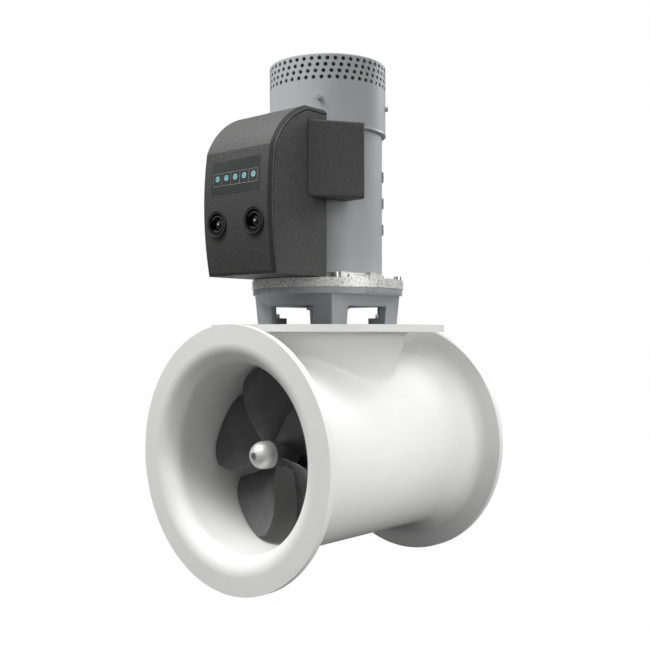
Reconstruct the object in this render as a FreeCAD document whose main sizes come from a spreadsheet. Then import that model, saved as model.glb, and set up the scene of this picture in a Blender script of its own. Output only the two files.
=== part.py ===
import FreeCAD, Part
import Sketcher
import math
import os
import re

# Tunnel thruster, modelled in millimetres. +Z is up, the tunnel lies along Y and the
# vertical drive axis is Z. The origin is where the two axes cross. The control box and
# the front mouth of the tunnel face -Y.

os.makedirs("parts", exist_ok=True)
doc = FreeCAD.newDocument("tunnel_thruster")
vec = FreeCAD.Vector

# Driving dimensions
SIZES = [
    ("tunnel_bore_radius", 150, "inner radius of the tunnel"),
    ("tunnel_wall", 10, "wall of the tunnel tube"),
    ("tunnel_half_length", 230, "tunnel axis crossing to each flange face"),
    ("flange_radius", 210, "outer radius of the end flanges"),
    ("flange_thickness", 11, "rim of the end flanges"),
    ("mouth_radius", 30, "round of the mouth inside"),
    ("cut_spare", 1, "what a cut goes past the face it opens"),
    ("shaft_tube_wall", 5, "wall of the leg's tube round the pinion bearings"),
    ("leg_bore_gap", 9, "room round the pinion shaft in the gear case"),
    ("bearing_shoulder", 4, "room round the pinion shaft between its bearings"),
    ("cap_lip", 1, "lip of a case cap in front of its seal"),
    ("cap_bore_gap", 0.5, "room between a case cap and its shaft"),
    ("cap_straight", 5, "straight rim of a case cap"),
    ("cap_seat_gap", 1.8, "counterbore past the shank of a case cap screw"),
    ("cap_head_edge", 1.6, "head past the shank of a case cap screw"),
    ("spacer_wall", 4, "wall of a bearing spacer"),
    ("nut_recess", 3, "how far a lock nut lies inside its hub"),
    ("shaft_end_gap", 2, "from a shaft's end to the front of its hub"),
    ("drive_pin_gap", 2, "hub behind a drive pin"),
    ("thread_step", 2, "step down to a shaft's threaded end"),
    ("anode_screw_recess", 6, "how far an anode screw's seat lies inside the anode"),
    ("anode_head_gap", 0.5, "room round the head of an anode screw"),
    ("shield_lip", 6, "lip of an end shield inside the yoke"),
    ("bearing_wall", 8, "wall of an end shield round its bearing"),
    ("shield_slot_depth", 14, "how far an end shield's slots start inside the yoke's radius"),
    ("shoe_thickness", 8, "thickness of a pole shoe"),
    ("coil_overhang", 10, "how far a field coil reaches past its pole"),
    ("window_margin", 4, "rim above and below a brush window"),
    ("band_low_edge", 1, "bevel of the vent cover's lower edge"),
    ("band_top_edge", 2, "bevel of the vent cover's upper edge"),
    ("shaft_end_reach", 4, "how far the motor shaft stands out of its upper bearing"),
    ("end_turn_inset", 8, "depth of the end turns inside the slots' floor"),
    ("commutator_gap", 10, "from the end turns to the commutator"),
    ("riser_height", 4, "height of the commutator's risers"),
    ("riser_length", 5, "length of the commutator's risers"),
    ("brush_rise", 7, "from the commutator's risers to the brushes"),
    ("holder_wall", 2.5, "wall of a brush holder"),
    ("flare_radius", 25, "round between the tube and the back of a flange"),
    ("deck_radius", 200, "disc that carries the motor bracket"),
    ("deck_top", 210, "top face of the disc"),
    ("deck_thickness", 11.5, "thickness of the disc"),
    ("neck_top_radius", 138, "neck cone just under the disc"),
    ("neck_low_radius", 106, "neck cone at neck_low_height"),
    ("neck_low_height", 96, "height where the lower cone radius is taken"),
    ("neck_fillet", 12, "round where the neck meets the tube"),
    ("deck_fillet", 6, "round where the neck meets the disc"),
    ("leg_bore_radius", 60.5, "bore of the neck for the gear leg"),
    ("deck_hole_radius", 30, "shaft hole in the disc"),
    ("leg_plug_radius", 60, "plug of the gear leg inside the neck"),
    ("gasket_thickness", 1.5, "flat gasket over the plug"),
    ("strut_half_length", 42, "strut of the gear leg along the tunnel"),
    ("strut_half_width", 17, "strut of the gear leg across the tunnel"),
    ("case_radius", 34, "round gear case"),
    ("case_half_length", 74, "gear case to the joint with an end cap"),
    ("case_bore_radius", 26, "bore of the gear case"),
    ("cap_nose_radius", 23, "end cap beside the hub"),
    ("cap_length", 16, "end cap along the shaft"),
    ("cap_spigot", 10, "end cap inside the case bore"),
    ("cap_screw_circle", 30, "radius of the cap screw circle"),
    ("cap_screw_radius", 2, "cap screws"),
    ("cap_screw_length", 14, "cap screws under the head"),
    ("cap_screw_count", 4, "cap screws in each cap"),
    ("running_gap", 0.05, "radial clearance of running fits"),
    ("seat_gap", 0.1, "clearance between seated pieces"),
    ("pinion_teeth", 11, "teeth of the bevel pinion"),
    ("crown_teeth", 21, "teeth of each crown gear"),
    ("crown_pitch_radius", 24, "pitch radius of a crown gear at its large end"),
    ("tooth_face", 8.5, "length of the bevel teeth"),
    ("tooth_backlash", 0.3, "play between meshing flanks at the large end"),
    ("pressure_angle", 25, "pressure angle of the teeth, degrees"),
    ("crown_back", 10.6, "crown gear body behind its teeth"),
    ("bearing_start", 26, "inner face of the inner bearing, from the crossing"),
    ("prop_shaft_radius", 10, "propeller shafts"),
    ("prop_shaft_inner", 12, "gear end of a propeller shaft, from the crossing"),
    ("prop_bearing_width", 13, "width of the propeller shaft bearings"),
    ("prop_bearing_gap", 12, "space between the two bearings of a shaft"),
    ("pinion_shaft_radius", 10, "pinion shaft"),
    ("pinion_bearing_radius", 21, "outside of the pinion bearings"),
    ("pinion_bearing_low", 42, "lower face of the lower pinion bearing"),
    ("pinion_bearing_high", 160, "lower face of the upper pinion bearing"),
    ("pinion_bearing_width", 12, "width of the pinion bearings"),
    ("seal_width", 7, "lip seal along the shaft"),
    ("seal_radius", 16, "outside of a lip seal"),
    ("hub_radius", 22.5, "propeller hub"),
    ("hub_front", 145, "hub face under the anode, from the crossing"),
    ("hub_back", 91, "hub face beside the gear case cap"),
    ("blade_plane", 115, "middle plane of the blades, from the crossing"),
    ("blade_tip_radius", 146, "blade tips"),
    ("blade_count", 5, "blades of each propeller"),
    ("blade_width", 68, "angle that a blade covers, degrees"),
    ("blade_skew", 10, "how far the tip trails the root, degrees"),
    ("blade_pitch", 250, "advance of the blade face in one turn"),
    ("blade_root_thickness", 8, "blade thickness at the hub"),
    ("blade_tip_thickness", 3, "blade thickness at the tip"),
    ("blade_edge_thickness", 1.4, "blade thickness at its edges"),
    ("corner_drop", 17, "how far the outer corners of a blade round off"),
    ("blade_turn", 24, "angle of the first blade from +X, degrees"),
    ("anode_radius", 22.4, "anode behind its dome"),
    ("anode_length", 33, "anode along the shaft"),
    ("anode_screw_radius", 4, "screw that holds the anode"),
    ("anode_screw_length", 44, "anode screw under its head"),
    ("anode_head_radius", 5.5, "head of the anode screw"),
    ("nut_radius", 15, "lock nut across its corners"),
    ("nut_height", 9, "lock nut along the shaft"),
    ("drive_pin_radius", 3, "pin that drives the propeller"),
    ("drive_pin_half_length", 19, "half of the drive pin"),
    ("bracket_foot", 86.5, "half side of the bracket on the disc"),
    ("bracket_head", 90, "half side of the bracket under its ring"),
    ("bracket_height", 51, "bracket from the disc to its ring"),
    ("bracket_wall", 11, "wall of the bracket"),
    ("bracket_corner", 14, "round of the bracket corners"),
    ("bracket_roof", 12, "roof of the bracket under the ring"),
    ("window_width", 100, "opening in each side of the bracket"),
    ("window_height", 39, "opening above the disc"),
    ("ring_radius", 129, "round ring on top of the bracket"),
    ("ring_thickness", 10, "round ring on top of the bracket"),
    ("bracket_hole", 32, "shaft hole in the bracket and the plate"),
    ("foot_lug", 26, "side of the lug in each bracket corner"),
    ("foot_lug_height", 12, "height of the lug in each bracket corner"),
    ("foot_bolt_place", 64, "bracket bolt from both centre planes"),
    ("foot_bolt_radius", 5, "bracket bolts"),
    ("foot_bolt_depth", 32, "bracket bolts below the lug"),
    ("foot_bolt_head", 8, "head radius of the bracket bolts"),
    ("plate_radius", 130.5, "adapter plate under the motor"),
    ("plate_thickness", 15, "adapter plate under the motor"),
    ("plate_bolt_across", 90, "plate bolts from the middle plane of the tunnel"),
    ("plate_bolt_along", 81, "plate bolts from the middle plane across the tunnel"),
    ("plate_bolt_radius", 4, "plate bolts"),
    ("plate_bolt_head", 6.5, "head radius of the plate bolts"),
    ("plate_bolt_head_height", 8, "head height of the plate bolts"),
    ("shield_pad_height", 10, "drive end shield between the plate and the yoke"),
    ("shield_slot", 16, "width of the slots under the yoke"),
    ("shield_slot_count", 8, "slots under the yoke"),
    ("shield_web", 8, "web of the drive end shield"),
    ("yoke_radius", 94, "outside of the motor"),
    ("yoke_wall", 12, "wall of the motor yoke"),
    ("yoke_height", 249, "motor yoke"),
    ("shield_spigot", 5, "end shields inside the yoke"),
    ("pole_height", 150, "pole shoes"),
    ("pole_low", 44, "pole shoes above the lower end of the yoke"),
    ("air_gap", 1.5, "gap between the armature and the poles"),
    ("armature_radius", 60, "armature core"),
    ("armature_slots", 16, "slots of the armature core"),
    ("slot_width", 8, "width of an armature slot"),
    ("slot_depth", 16, "depth of an armature slot"),
    ("end_turn", 20, "winding beyond each end of the core"),
    ("end_turn_radius", 54, "outside of the end windings"),
    ("motor_shaft_radius", 12.5, "motor shaft"),
    ("motor_bearing_radius", 26, "outside of the motor bearings"),
    ("motor_bearing_width", 15, "width of the motor bearings"),
    ("commutator_radius", 34, "commutator"),
    ("commutator_height", 34, "commutator"),
    ("commutator_bars", 24, "bars of the commutator"),
    ("brush_width", 16, "carbon brushes across"),
    ("brush_height", 24, "carbon brushes along the shaft"),
    ("brush_length", 26, "carbon brushes towards the shaft"),
    ("holder_height", 6, "plate that carries the brush holders"),
    ("pole_screw_radius", 9.5, "heads of the pole screws"),
    ("pole_screw_head", 2.6, "height of the pole screw heads"),
    ("pole_screw_pitch", 45.5, "pole screws along the motor"),
    ("pole_screw_low", 79, "lowest pole screw above the lower end of the yoke"),
    ("band_radius", 100, "vent cover"),
    ("band_wall", 2, "sheet of the vent cover"),
    ("band_low", 250, "lower edge of the vent cover above the motor foot"),
    ("band_top", 367, "top of the vent cover above the motor foot"),
    ("band_lip", 3, "turned-in lower edge of the vent cover"),
    ("vent_radius", 2.8, "vent holes"),
    ("vent_count", 48, "vent holes in a row"),
    ("vent_rows", 4, "rows of vent holes"),
    ("vent_row_pitch", 10.2, "rows of vent holes"),
    ("vent_first_drop", 8.3, "first row below the top edge"),
    ("vent_row_turn", -1.875, "turn of each lower row, degrees"),
    ("band_screw_drop", 72, "band screws below the top edge"),
    ("band_screw_radius", 4.6, "head of the band screws across corners"),
    ("band_screw_turn", -56, "angle of the first band screw from +X, degrees"),
    ("box_half_width", 77, "control box from its middle to each side"),
    ("box_low", 1.5, "control box above the adapter plate"),
    ("box_front", 218, "foremost line of the control box"),
    ("box_bow_radius", 570, "bow of the front face"),
    ("box_bow_height", 400, "height of the foremost line"),
    ("box_bend_height", 484, "height where the front turns into the hood"),
    ("box_hood_radius", 123, "curve of the hood"),
    ("box_ridge", 135, "hood ridge from the drive axis"),
    ("box_top", 555, "top of the control box"),
    ("box_rear", 89, "rear edge of the side walls"),
    ("box_wall", 4, "wall of the control box"),
    ("box_edge", 5, "bevel along the side edges"),
    ("back_plate", 4, "back plate of the control box"),
    ("back_plate_place", 98, "outer face of the back plate from the drive axis"),
    ("saddle_half_width", 34, "saddle ribs on the motor"),
    ("saddle_height", 14, "saddle ribs on the motor"),
    ("label_half_width", 55, "label plate"),
    ("label_low", 415, "lower edge of the label plate"),
    ("label_high", 468, "upper edge of the label plate"),
    ("label_thickness", 0.8, "label plate"),
    ("label_proud", 0.2, "label plate above the cover"),
    ("socket_place", 42, "power sockets from the middle of the box"),
    ("socket_height", 369.5, "height of the power sockets"),
    ("socket_radius", 21.7, "rim of a power socket"),
    ("socket_flange", 2.5, "rim of a power socket"),
    ("socket_recess", 16.5, "recess of a power socket"),
    ("socket_depth", 24, "power socket from its front to its back"),
    ("socket_floor", 5, "back wall of a power socket"),
    ("socket_wall", 2, "barrel of a power socket"),
    ("socket_bush", 8.5, "bush around the stud"),
    ("stud_radius", 4, "terminal stud"),
    ("stud_recess", 5, "stud end behind the socket rim"),
    ("stud_tail", 22, "stud behind the socket"),
    ("pod_reach", 127, "outer corner of the side hood"),
    ("pod_front", 133, "front edge of the side hood"),
    ("pod_corner", 54, "outer corner of the side hood from the middle plane"),
    ("pod_back", 44, "rear edge of the side hood"),
    ("pod_root", 86.5, "rear inner corner of the side hood"),
    ("pod_low", 412, "lower face of the side hood"),
    ("pod_high", 534, "upper face of the side hood"),
    ("pod_wall", 3.5, "wall of the side hood"),
    ("pod_edge", 4, "round along the edges of the side hood"),
    ("coupling_radius", 24, "shaft coupling"),
    ("coupling_half", 17, "one half of the coupling"),
    ("coupling_spider", 9, "rubber spider between the halves"),
    ("coupling_low", 216, "lower end of the coupling"),
    ("plug_screw_circle", 46, "circle of the screws that hold the gear leg"),
    ("plug_screw_count", 4, "screws that hold the gear leg"),
    ("plug_screw_radius", 4, "screws that hold the gear leg"),
    ("plug_screw_head", 7, "head radius of those screws, sunk into the disc"),
    ("plug_screw_head_height", 5, "head height of those screws"),
    ("plug_screw_depth", 34, "those screws from the disc's top face down"),
    ("blade_bury", 5, "blade root inside the hub"),
    ("band_screw_height", 4.5, "band screws outside the vent cover"),
    ("terminal_radius", 5, "motor terminal studs"),
    ("terminal_height", 473, "motor terminal studs"),
    ("terminal_spread", 28, "motor terminals from their middle"),
    ("terminal_length", 24, "motor terminal studs outside the yoke"),
    ("terminal_turn", -40, "angle of the terminals from +X, degrees"),
    ("board_thickness", 1.6, "control board"),
    ("board_half_width", 58, "control board"),
    ("board_low", 405, "control board"),
    ("board_high", 500, "control board"),
    ("board_place", 150, "control board from the drive axis"),
    ("contactor_radius", 21, "contactors"),
    ("contactor_length", 58, "contactors"),
    ("contactor_spread", 33, "contactors from the middle plane"),
    ("cover_screw_radius", 3, "screws of the control box cover"),
    ("cover_screw_head", 5.2, "heads of the cover screws"),
    ("pole_turn", 41.8, "angle of the first pole from +X, degrees"),
    ("shield_flange", 16, "flange of the upper end shield that the vent cover sits on"),
    ("shield_wall", 7, "wall of the upper end shield"),
    ("shield_height", 30, "wall of the upper end shield above the yoke"),
    ("shield_window", 40, "brush windows of the upper end shield"),
    ("socket_front", 218.6, "front face of the power sockets from the drive axis"),
    ("bush_drop", 7, "bush behind the socket's front face"),
    ("bar_width", 18, "busbars"),
    ("bar_thickness", 3, "busbars"),
    ("boss_side", 14, "bosses for the cover screws"),
    ("boss_height", 16, "bosses for the cover screws"),
    ("cover_screw_place", 50, "cover screws from the middle plane"),
    ("cover_screw_length", 16, "cover screws under the head"),
    ("standoff_radius", 3.5, "posts of the control board"),
    ("standoff_across", 50, "posts of the control board from the middle plane"),
    ("standoff_inset", 8, "posts from the edges of the control board"),
]

sheet = doc.addObject("Spreadsheet::Sheet", "Sizes")
for row, (alias, number, note) in enumerate(SIZES, start=1):
    sheet.set("A%d" % row, alias)
    sheet.set("B%d" % row, str(number))
    sheet.set("C%d" % row, note)
    sheet.setAlias("B%d" % row, alias)
doc.recompute()


def bound(formula):
    """Write a formula in the sheet's aliases as an expression of the document."""
    return re.sub(r"\b([a-z]+(?:_[a-z]+)+)\b(?!\()", r"Sizes.\1", str(formula))


def value(formula):
    """Work a formula in the sheet's aliases out as a number."""
    return float(sheet.evalExpression(bound(formula)))


def origin_part(body, role):
    """Find one of the body's own origin planes or axes."""
    return [item for item in body.Origin.OriginFeatures if item.Role == role][0]


def new_body(name):
    """Start a sub-part as a body labelled with its node name."""
    body = doc.addObject("PartDesign::Body", name)
    body.Label = name
    return body


def new_sketch(body, plane, offset="0"):
    """Attach a sketch to one of the body's origin planes, moved along its normal."""
    sketch = body.newObject("Sketcher::SketchObject", body.Name + "_sketch")
    sketch.AttachmentSupport = [(origin_part(body, plane), "")]
    sketch.MapMode = "FlatFace"
    sketch.setExpression("AttachmentOffset.Base.z", bound(offset))
    return sketch


def radial_sketch(body, distance, angle):
    """Attach an upright sketch that faces away from the drive axis at an angle from +X."""
    sketch = new_sketch(body, "YZ_Plane")
    sketch.AttachmentOffset = FreeCAD.Placement(
        vec(0, 0, value(distance)), FreeCAD.Rotation(vec(0, 1, 0), value(angle)))
    sketch.setExpression("AttachmentOffset.Base.x", bound("(%s) * sin(%s)" % (distance, angle)))
    sketch.setExpression("AttachmentOffset.Base.z", bound("(%s) * cos(%s)" % (distance, angle)))
    sketch.setExpression("AttachmentOffset.Rotation.Angle", bound(angle))
    return sketch


def fix_point(sketch, geometry, point, across, up):
    """Bind one point of the sketch to a distance across and a distance up."""
    for kind, formula in (("DistanceX", across), ("DistanceY", up)):
        index = sketch.addConstraint(
            Sketcher.Constraint(kind, -1, 1, geometry, point, value(formula)))
        sketch.setExpression("Constraints[%d]" % index, bound(formula))


def outline(sketch, corners):
    """Close an outline through corners given as (across, up) formulas.

    A corner with two more entries, a radius formula and a side of 1 or -1, is reached by
    an arc of that radius whose centre lies to the left or to the right of the way there.
    """
    places = [vec(value(corner[0]), value(corner[1]), 0) for corner in corners]
    count = len(corners)
    base = sketch.GeometryCount
    for index, corner in enumerate(corners):
        start = places[index - 1]
        end = places[index]
        if len(corner) == 2:
            sketch.addGeometry(Part.LineSegment(start, end), False)
            continue
        radius = value(corner[2])
        chord = end - start
        half = chord.Length / 2
        normal = vec(-chord.y, chord.x, 0).normalize() * corner[3]
        centre = start + chord * 0.5 + normal * math.sqrt(max(radius ** 2 - half ** 2, 0))
        first, last = (start, end) if corner[3] > 0 else (end, start)
        angles = [math.atan2(p.y - centre.y, p.x - centre.x) for p in (first, last)]
        circle = Part.Circle(centre, vec(0, 0, 1), radius)
        sketch.addGeometry(Part.ArcOfCircle(circle, angles[0], angles[1]), False)
    for index, corner in enumerate(corners):
        following = corners[(index + 1) % count]
        end_point = 1 if len(corner) > 2 and corner[3] < 0 else 2
        start_point = 2 if len(following) > 2 and following[3] < 0 else 1
        edge = base + index
        sketch.addConstraint(Sketcher.Constraint(
            "Coincident", edge, end_point, base + (index + 1) % count, start_point))
        fix_point(sketch, edge, end_point, corner[0], corner[1])
        if len(corner) > 2:
            place = sketch.addConstraint(Sketcher.Constraint("Radius", edge, value(corner[2])))
            sketch.setExpression("Constraints[%d]" % place, bound(corner[2]))


def circle(sketch, radius, across="0", up="0"):
    """Draw a circle with its radius and centre bound to formulas."""
    place = vec(value(across), value(up), 0)
    index = sketch.addGeometry(Part.Circle(place, vec(0, 0, 1), value(radius)), False)
    number = sketch.addConstraint(Sketcher.Constraint("Radius", index, value(radius)))
    sketch.setExpression("Constraints[%d]" % number, bound(radius))
    fix_point(sketch, index, 3, across, up)


def rectangle(sketch, left, right, low, high):
    """Draw a rectangle between two distances across and two distances up."""
    outline(sketch, [(left, low), (right, low), (right, high), (left, high)])


def polygon(sketch, sides, radius, across="0", up="0", turn=0):
    """Draw a regular polygon by its circumscribed radius."""
    corners = []
    for side in range(sides):
        angle = math.radians(360.0 * side / sides + turn)
        corners.append(("%s + (%s) * %.6f" % (across, radius, math.cos(angle)),
                        "%s + (%s) * %.6f" % (up, radius, math.sin(angle))))
    outline(sketch, corners)


def feature(body, kind, sketch, settings=(), formulas=()):
    """Add a sketch-based feature with plain settings and bound formulas."""
    item = body.newObject("PartDesign::" + kind, body.Name + "_" + kind.lower())
    item.Profile = sketch
    for name, setting in settings:
        setattr(item, name, setting)
    for name, formula in formulas:
        item.setExpression(name, bound(formula))
    sketch.Visibility = False
    return item


def pad(body, sketch, length, reverse=False, middle=False, taper=None):
    """Pad a sketch along its normal, or against it, or to both sides alike."""
    settings = [("Reversed", reverse), ("Midplane", middle)]
    formulas = [("Length", length)]
    if taper is not None:
        formulas.append(("TaperAngle", taper))
    return feature(body, "Pad", sketch, settings, formulas)


def pocket(body, sketch, length, reverse=False, middle=False):
    """Cut a sketch into the body. A plain pocket cuts against the sketch's normal."""
    return feature(body, "Pocket", sketch, [("Reversed", reverse), ("Midplane", middle)],
                   [("Length", length)])


def turn(body, plane, corners, cut=False):
    """Revolve an outline of (radius, along) corners about the plane's upright axis."""
    sketch = new_sketch(body, plane)
    outline(sketch, corners)
    axis = (sketch, ["V_Axis"])
    return feature(body, "Groove" if cut else "Revolution", sketch, [("ReferenceAxis", axis)])


def around(body, features, count, axis="Z_Axis"):
    """Repeat features about one of the body's axes."""
    pattern = body.newObject("PartDesign::PolarPattern", body.Name + "_pattern")
    pattern.Originals = features
    pattern.Axis = (origin_part(body, axis), [""])
    pattern.Angle = 360
    pattern.setExpression("Occurrences", bound(count))
    body.Tip = pattern
    return pattern


def mirrored(body, features, plane):
    """Mirror features in one of the body's origin planes."""
    mirror = body.newObject("PartDesign::Mirrored", body.Name + "_mirror")
    mirror.Originals = features
    mirror.MirrorPlane = (origin_part(body, plane), [""])
    body.Tip = mirror
    return mirror


def round_edges(body, test, radius, kind="Fillet"):
    """Fillet or chamfer the edges of the body that a test picks out."""
    doc.recompute()
    tip = body.Tip
    names = ["Edge%d" % (index + 1) for index, edge in enumerate(tip.Shape.Edges) if test(edge)]
    item = body.newObject("PartDesign::" + kind, body.Name + "_" + kind.lower())
    item.Base = (tip, names)
    item.setExpression("Radius" if kind == "Fillet" else "Size", bound(radius))
    body.Tip = item
    return item


def made_shape(name, shape):
    """Keep a shape made in code as a sub-part with its own label."""
    item = doc.addObject("Part::Feature", name)
    item.Label = name
    item.Shape = shape
    return item


def ring(name, inner, outer, low, high, plane="XZ_Plane"):
    """Make a plain ring between two radii and two places along its axis."""
    body = new_body(name)
    turn(body, plane, [(inner, low), (outer, low), (outer, high), (inner, high)])
    return body


def sector(sketch, inner, outer, start, end):
    """Draw a sector between two radii and two angles in degrees."""
    def at(radius, angle):
        return ("(%s) * %.6f" % (radius, math.cos(math.radians(angle))),
                "(%s) * %.6f" % (radius, math.sin(math.radians(angle))))
    outline(sketch, [at(inner, start) + (inner, -1), at(outer, start),
                     at(outer, end) + (outer, 1), at(inner, end)])


def screws(name, plane, axis, seat, centre, count, shank, length, head, head_height, key=0):
    """Make a ring of screws whose heads sit on a plane and whose shanks go back into it."""
    body = new_body(name)
    shank_sketch = new_sketch(body, plane, seat)
    circle(shank_sketch, shank, centre[0], centre[1])
    shank_pad = pad(body, shank_sketch, length, reverse=True)
    head_sketch = new_sketch(body, plane, seat)
    if key:
        circle(head_sketch, head, centre[0], centre[1])
    else:
        polygon(head_sketch, 6, head, centre[0], centre[1])
    head_pad = pad(body, head_sketch, head_height)
    parts = [shank_pad, head_pad]
    if key:
        key_sketch = new_sketch(body, plane, "%s + %s" % (seat, head_height))
        polygon(key_sketch, 6, "(%s) * %s" % (head, key), centre[0], centre[1])
        parts.append(pocket(body, key_sketch, "(%s) * 0.6" % head_height))
    if count != "1":
        around(body, parts, count, axis)
    return body


def turned_about_drive(body, formula):
    """Turn a finished body about the drive axis by an angle in degrees."""
    body.Placement = FreeCAD.Placement(vec(0, 0, 0), vec(0, 0, 1), value(formula))
    body.setExpression("Placement.Rotation.Angle", bound(formula))
    return body


ENDS = (("front", 0), ("rear", 180))


# Tunnel with its neck and disc, moulded as one piece

tunnel = new_body("tunnel")
outer_radius = "tunnel_bore_radius + tunnel_wall"
flare_start = "tunnel_half_length - flange_thickness - flare_radius"
turn(tunnel, "XY_Plane", [
    (outer_radius, "-(%s)" % flare_start),
    (outer_radius + " + flare_radius", "-tunnel_half_length + flange_thickness", "flare_radius", 1),
    ("flange_radius", "-tunnel_half_length + flange_thickness"),
    ("flange_radius", "-tunnel_half_length"),
    ("tunnel_bore_radius + mouth_radius", "-tunnel_half_length"),
    ("tunnel_bore_radius", "-tunnel_half_length + mouth_radius", "mouth_radius", -1),
    ("tunnel_bore_radius", "tunnel_half_length - mouth_radius"),
    ("tunnel_bore_radius + mouth_radius", "tunnel_half_length", "mouth_radius", -1),
    ("flange_radius", "tunnel_half_length"),
    ("flange_radius", "tunnel_half_length - flange_thickness"),
    (outer_radius + " + flare_radius", "tunnel_half_length - flange_thickness"),
    (outer_radius, flare_start, "flare_radius", 1),
])
turn(tunnel, "XZ_Plane", [
    ("0", "neck_low_height"),
    ("neck_low_radius", "neck_low_height"),
    ("neck_top_radius", "deck_top - deck_thickness"),
    ("deck_radius", "deck_top - deck_thickness"),
    ("deck_radius", "deck_top"),
    ("0", "deck_top"),
])
turn(tunnel, "XY_Plane", [
    ("0", "-deck_radius"),
    ("tunnel_bore_radius", "-deck_radius"),
    ("tunnel_bore_radius", "deck_radius"),
    ("0", "deck_radius"),
], cut=True)


def is_neck_saddle(edge):
    """Pick the seam where the neck's cone leaves the tube."""
    box = edge.BoundBox
    low = value("neck_low_height") + 1
    high = value(outer_radius) + 1
    wide = value("neck_low_radius") < box.XMax < value("neck_top_radius")
    return box.ZMin > low and box.ZMax < high and box.YLength > 20 and wide


def is_neck_top(edge):
    """Pick the circle where the neck's cone meets the disc."""
    radius = getattr(edge.Curve, "Radius", 0)
    return abs(radius - value("neck_top_radius")) < 0.01 and edge.BoundBox.ZLength < 0.01


round_edges(tunnel, is_neck_saddle, "neck_fillet")
round_edges(tunnel, is_neck_top, "deck_fillet")

leg_hole = new_sketch(tunnel, "XY_Plane", "deck_top - deck_thickness")
circle(leg_hole, "leg_bore_radius")
pocket(tunnel, leg_hole, "deck_top")
shaft_hole = new_sketch(tunnel, "XY_Plane", "deck_top")
circle(shaft_hole, "deck_hole_radius")
pocket(tunnel, shaft_hole, "deck_thickness + seat_gap")


def foot_holes(body, top, depth, radius):
    """Cut the holes of the four bracket bolts down from a height."""
    sketch = new_sketch(body, "XY_Plane", top)
    for across in ("foot_bolt_place", "-foot_bolt_place"):
        for up in ("foot_bolt_place", "-foot_bolt_place"):
            circle(sketch, radius, across, up)
    return pocket(body, sketch, depth)


foot_holes(tunnel, "deck_top", "foot_bolt_depth - foot_lug_height + seat_gap",
           "foot_bolt_radius + seat_gap")
plug_screw_holes = new_sketch(tunnel, "XY_Plane", "deck_top")
circle(plug_screw_holes, "plug_screw_radius + seat_gap", "plug_screw_circle")
first_hole = pocket(tunnel, plug_screw_holes, "deck_thickness + seat_gap")
sink = new_sketch(tunnel, "XY_Plane", "deck_top")
circle(sink, "plug_screw_head + seat_gap", "plug_screw_circle")
first_sink = pocket(tunnel, sink, "plug_screw_head_height + seat_gap")
around(tunnel, [first_hole, first_sink], "plug_screw_count")


# Gear leg: plug in the neck, strut and gear case, cast as one piece

gear_leg = new_body("gear_leg")
plug_top = "deck_top - deck_thickness - gasket_thickness"
plug = new_sketch(gear_leg, "XY_Plane", plug_top)
circle(plug, "leg_plug_radius")
pad(gear_leg, plug, plug_top + " - case_radius", reverse=True)
turn(gear_leg, "XY_Plane", [
    ("0", "-tunnel_bore_radius"),
    ("tunnel_bore_radius - seat_gap", "-tunnel_bore_radius"),
    ("tunnel_bore_radius - seat_gap", "tunnel_bore_radius"),
    ("0", "tunnel_bore_radius"),
], cut=True)
strut = new_sketch(gear_leg, "XY_Plane", "0")
strut_flank = "(strut_half_length^2 + strut_half_width^2) / (2 * strut_half_width)"
outline(strut, [
    ("0", "-strut_half_length", strut_flank, 1),
    ("0", "strut_half_length", strut_flank, 1),
])
pad(gear_leg, strut, "tunnel_bore_radius + tunnel_wall")
turn(gear_leg, "XY_Plane", [
    ("0", "-case_half_length"),
    ("case_radius", "-case_half_length"),
    ("case_radius", "case_half_length"),
    ("0", "case_half_length"),
])
shaft_tube_radius = "pinion_bearing_radius + shaft_tube_wall"
shaft_tube = new_sketch(gear_leg, "XY_Plane", "0")
circle(shaft_tube, shaft_tube_radius)
pad(gear_leg, shaft_tube, "pinion_bearing_low + 3 * pinion_bearing_width")
turn(gear_leg, "XY_Plane", [
    ("0", "-case_half_length - cut_spare"),
    ("case_bore_radius", "-case_half_length - cut_spare"),
    ("case_bore_radius", "case_half_length + cut_spare"),
    ("0", "case_half_length + cut_spare"),
], cut=True)
turn(gear_leg, "XZ_Plane", [
    ("0", "0"),
    ("pinion_shaft_radius + leg_bore_gap", "0"),
    ("pinion_shaft_radius + leg_bore_gap", "pinion_bearing_low"),
    ("pinion_bearing_radius", "pinion_bearing_low"),
    ("pinion_bearing_radius", "pinion_bearing_low + pinion_bearing_width"),
    ("pinion_shaft_radius + bearing_shoulder", "pinion_bearing_low + pinion_bearing_width"),
    ("pinion_shaft_radius + bearing_shoulder", "pinion_bearing_high"),
    ("pinion_bearing_radius", "pinion_bearing_high"),
    ("pinion_bearing_radius", plug_top + " + cut_spare"),
    ("0", plug_top + " + cut_spare"),
], cut=True)
plug_holes = new_sketch(gear_leg, "XY_Plane", plug_top)
circle(plug_holes, "plug_screw_radius", "plug_screw_circle")
plug_hole = pocket(gear_leg, plug_holes, "plug_screw_depth - deck_thickness - gasket_thickness")
around(gear_leg, [plug_hole], "plug_screw_count")


leg_gasket = new_body("leg_gasket")
gasket = new_sketch(leg_gasket, "XY_Plane", plug_top)
circle(gasket, "leg_plug_radius")
circle(gasket, "pinion_bearing_radius")
pad(leg_gasket, gasket, "gasket_thickness")
gasket_cut = new_sketch(leg_gasket, "XY_Plane", plug_top)
circle(gasket_cut, "plug_screw_radius + seat_gap", "plug_screw_circle")
gasket_hole = pocket(leg_gasket, gasket_cut, "gasket_thickness", reverse=True)
around(leg_gasket, [gasket_hole], "plug_screw_count")

screws("leg_screws", "XY_Plane", "Z_Axis", "deck_top - plug_screw_head_height",
       ("plug_screw_circle", "0"), "plug_screw_count", "plug_screw_radius",
       "plug_screw_depth - plug_screw_head_height", "plug_screw_head", "plug_screw_head_height",
       key=0.5)

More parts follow.
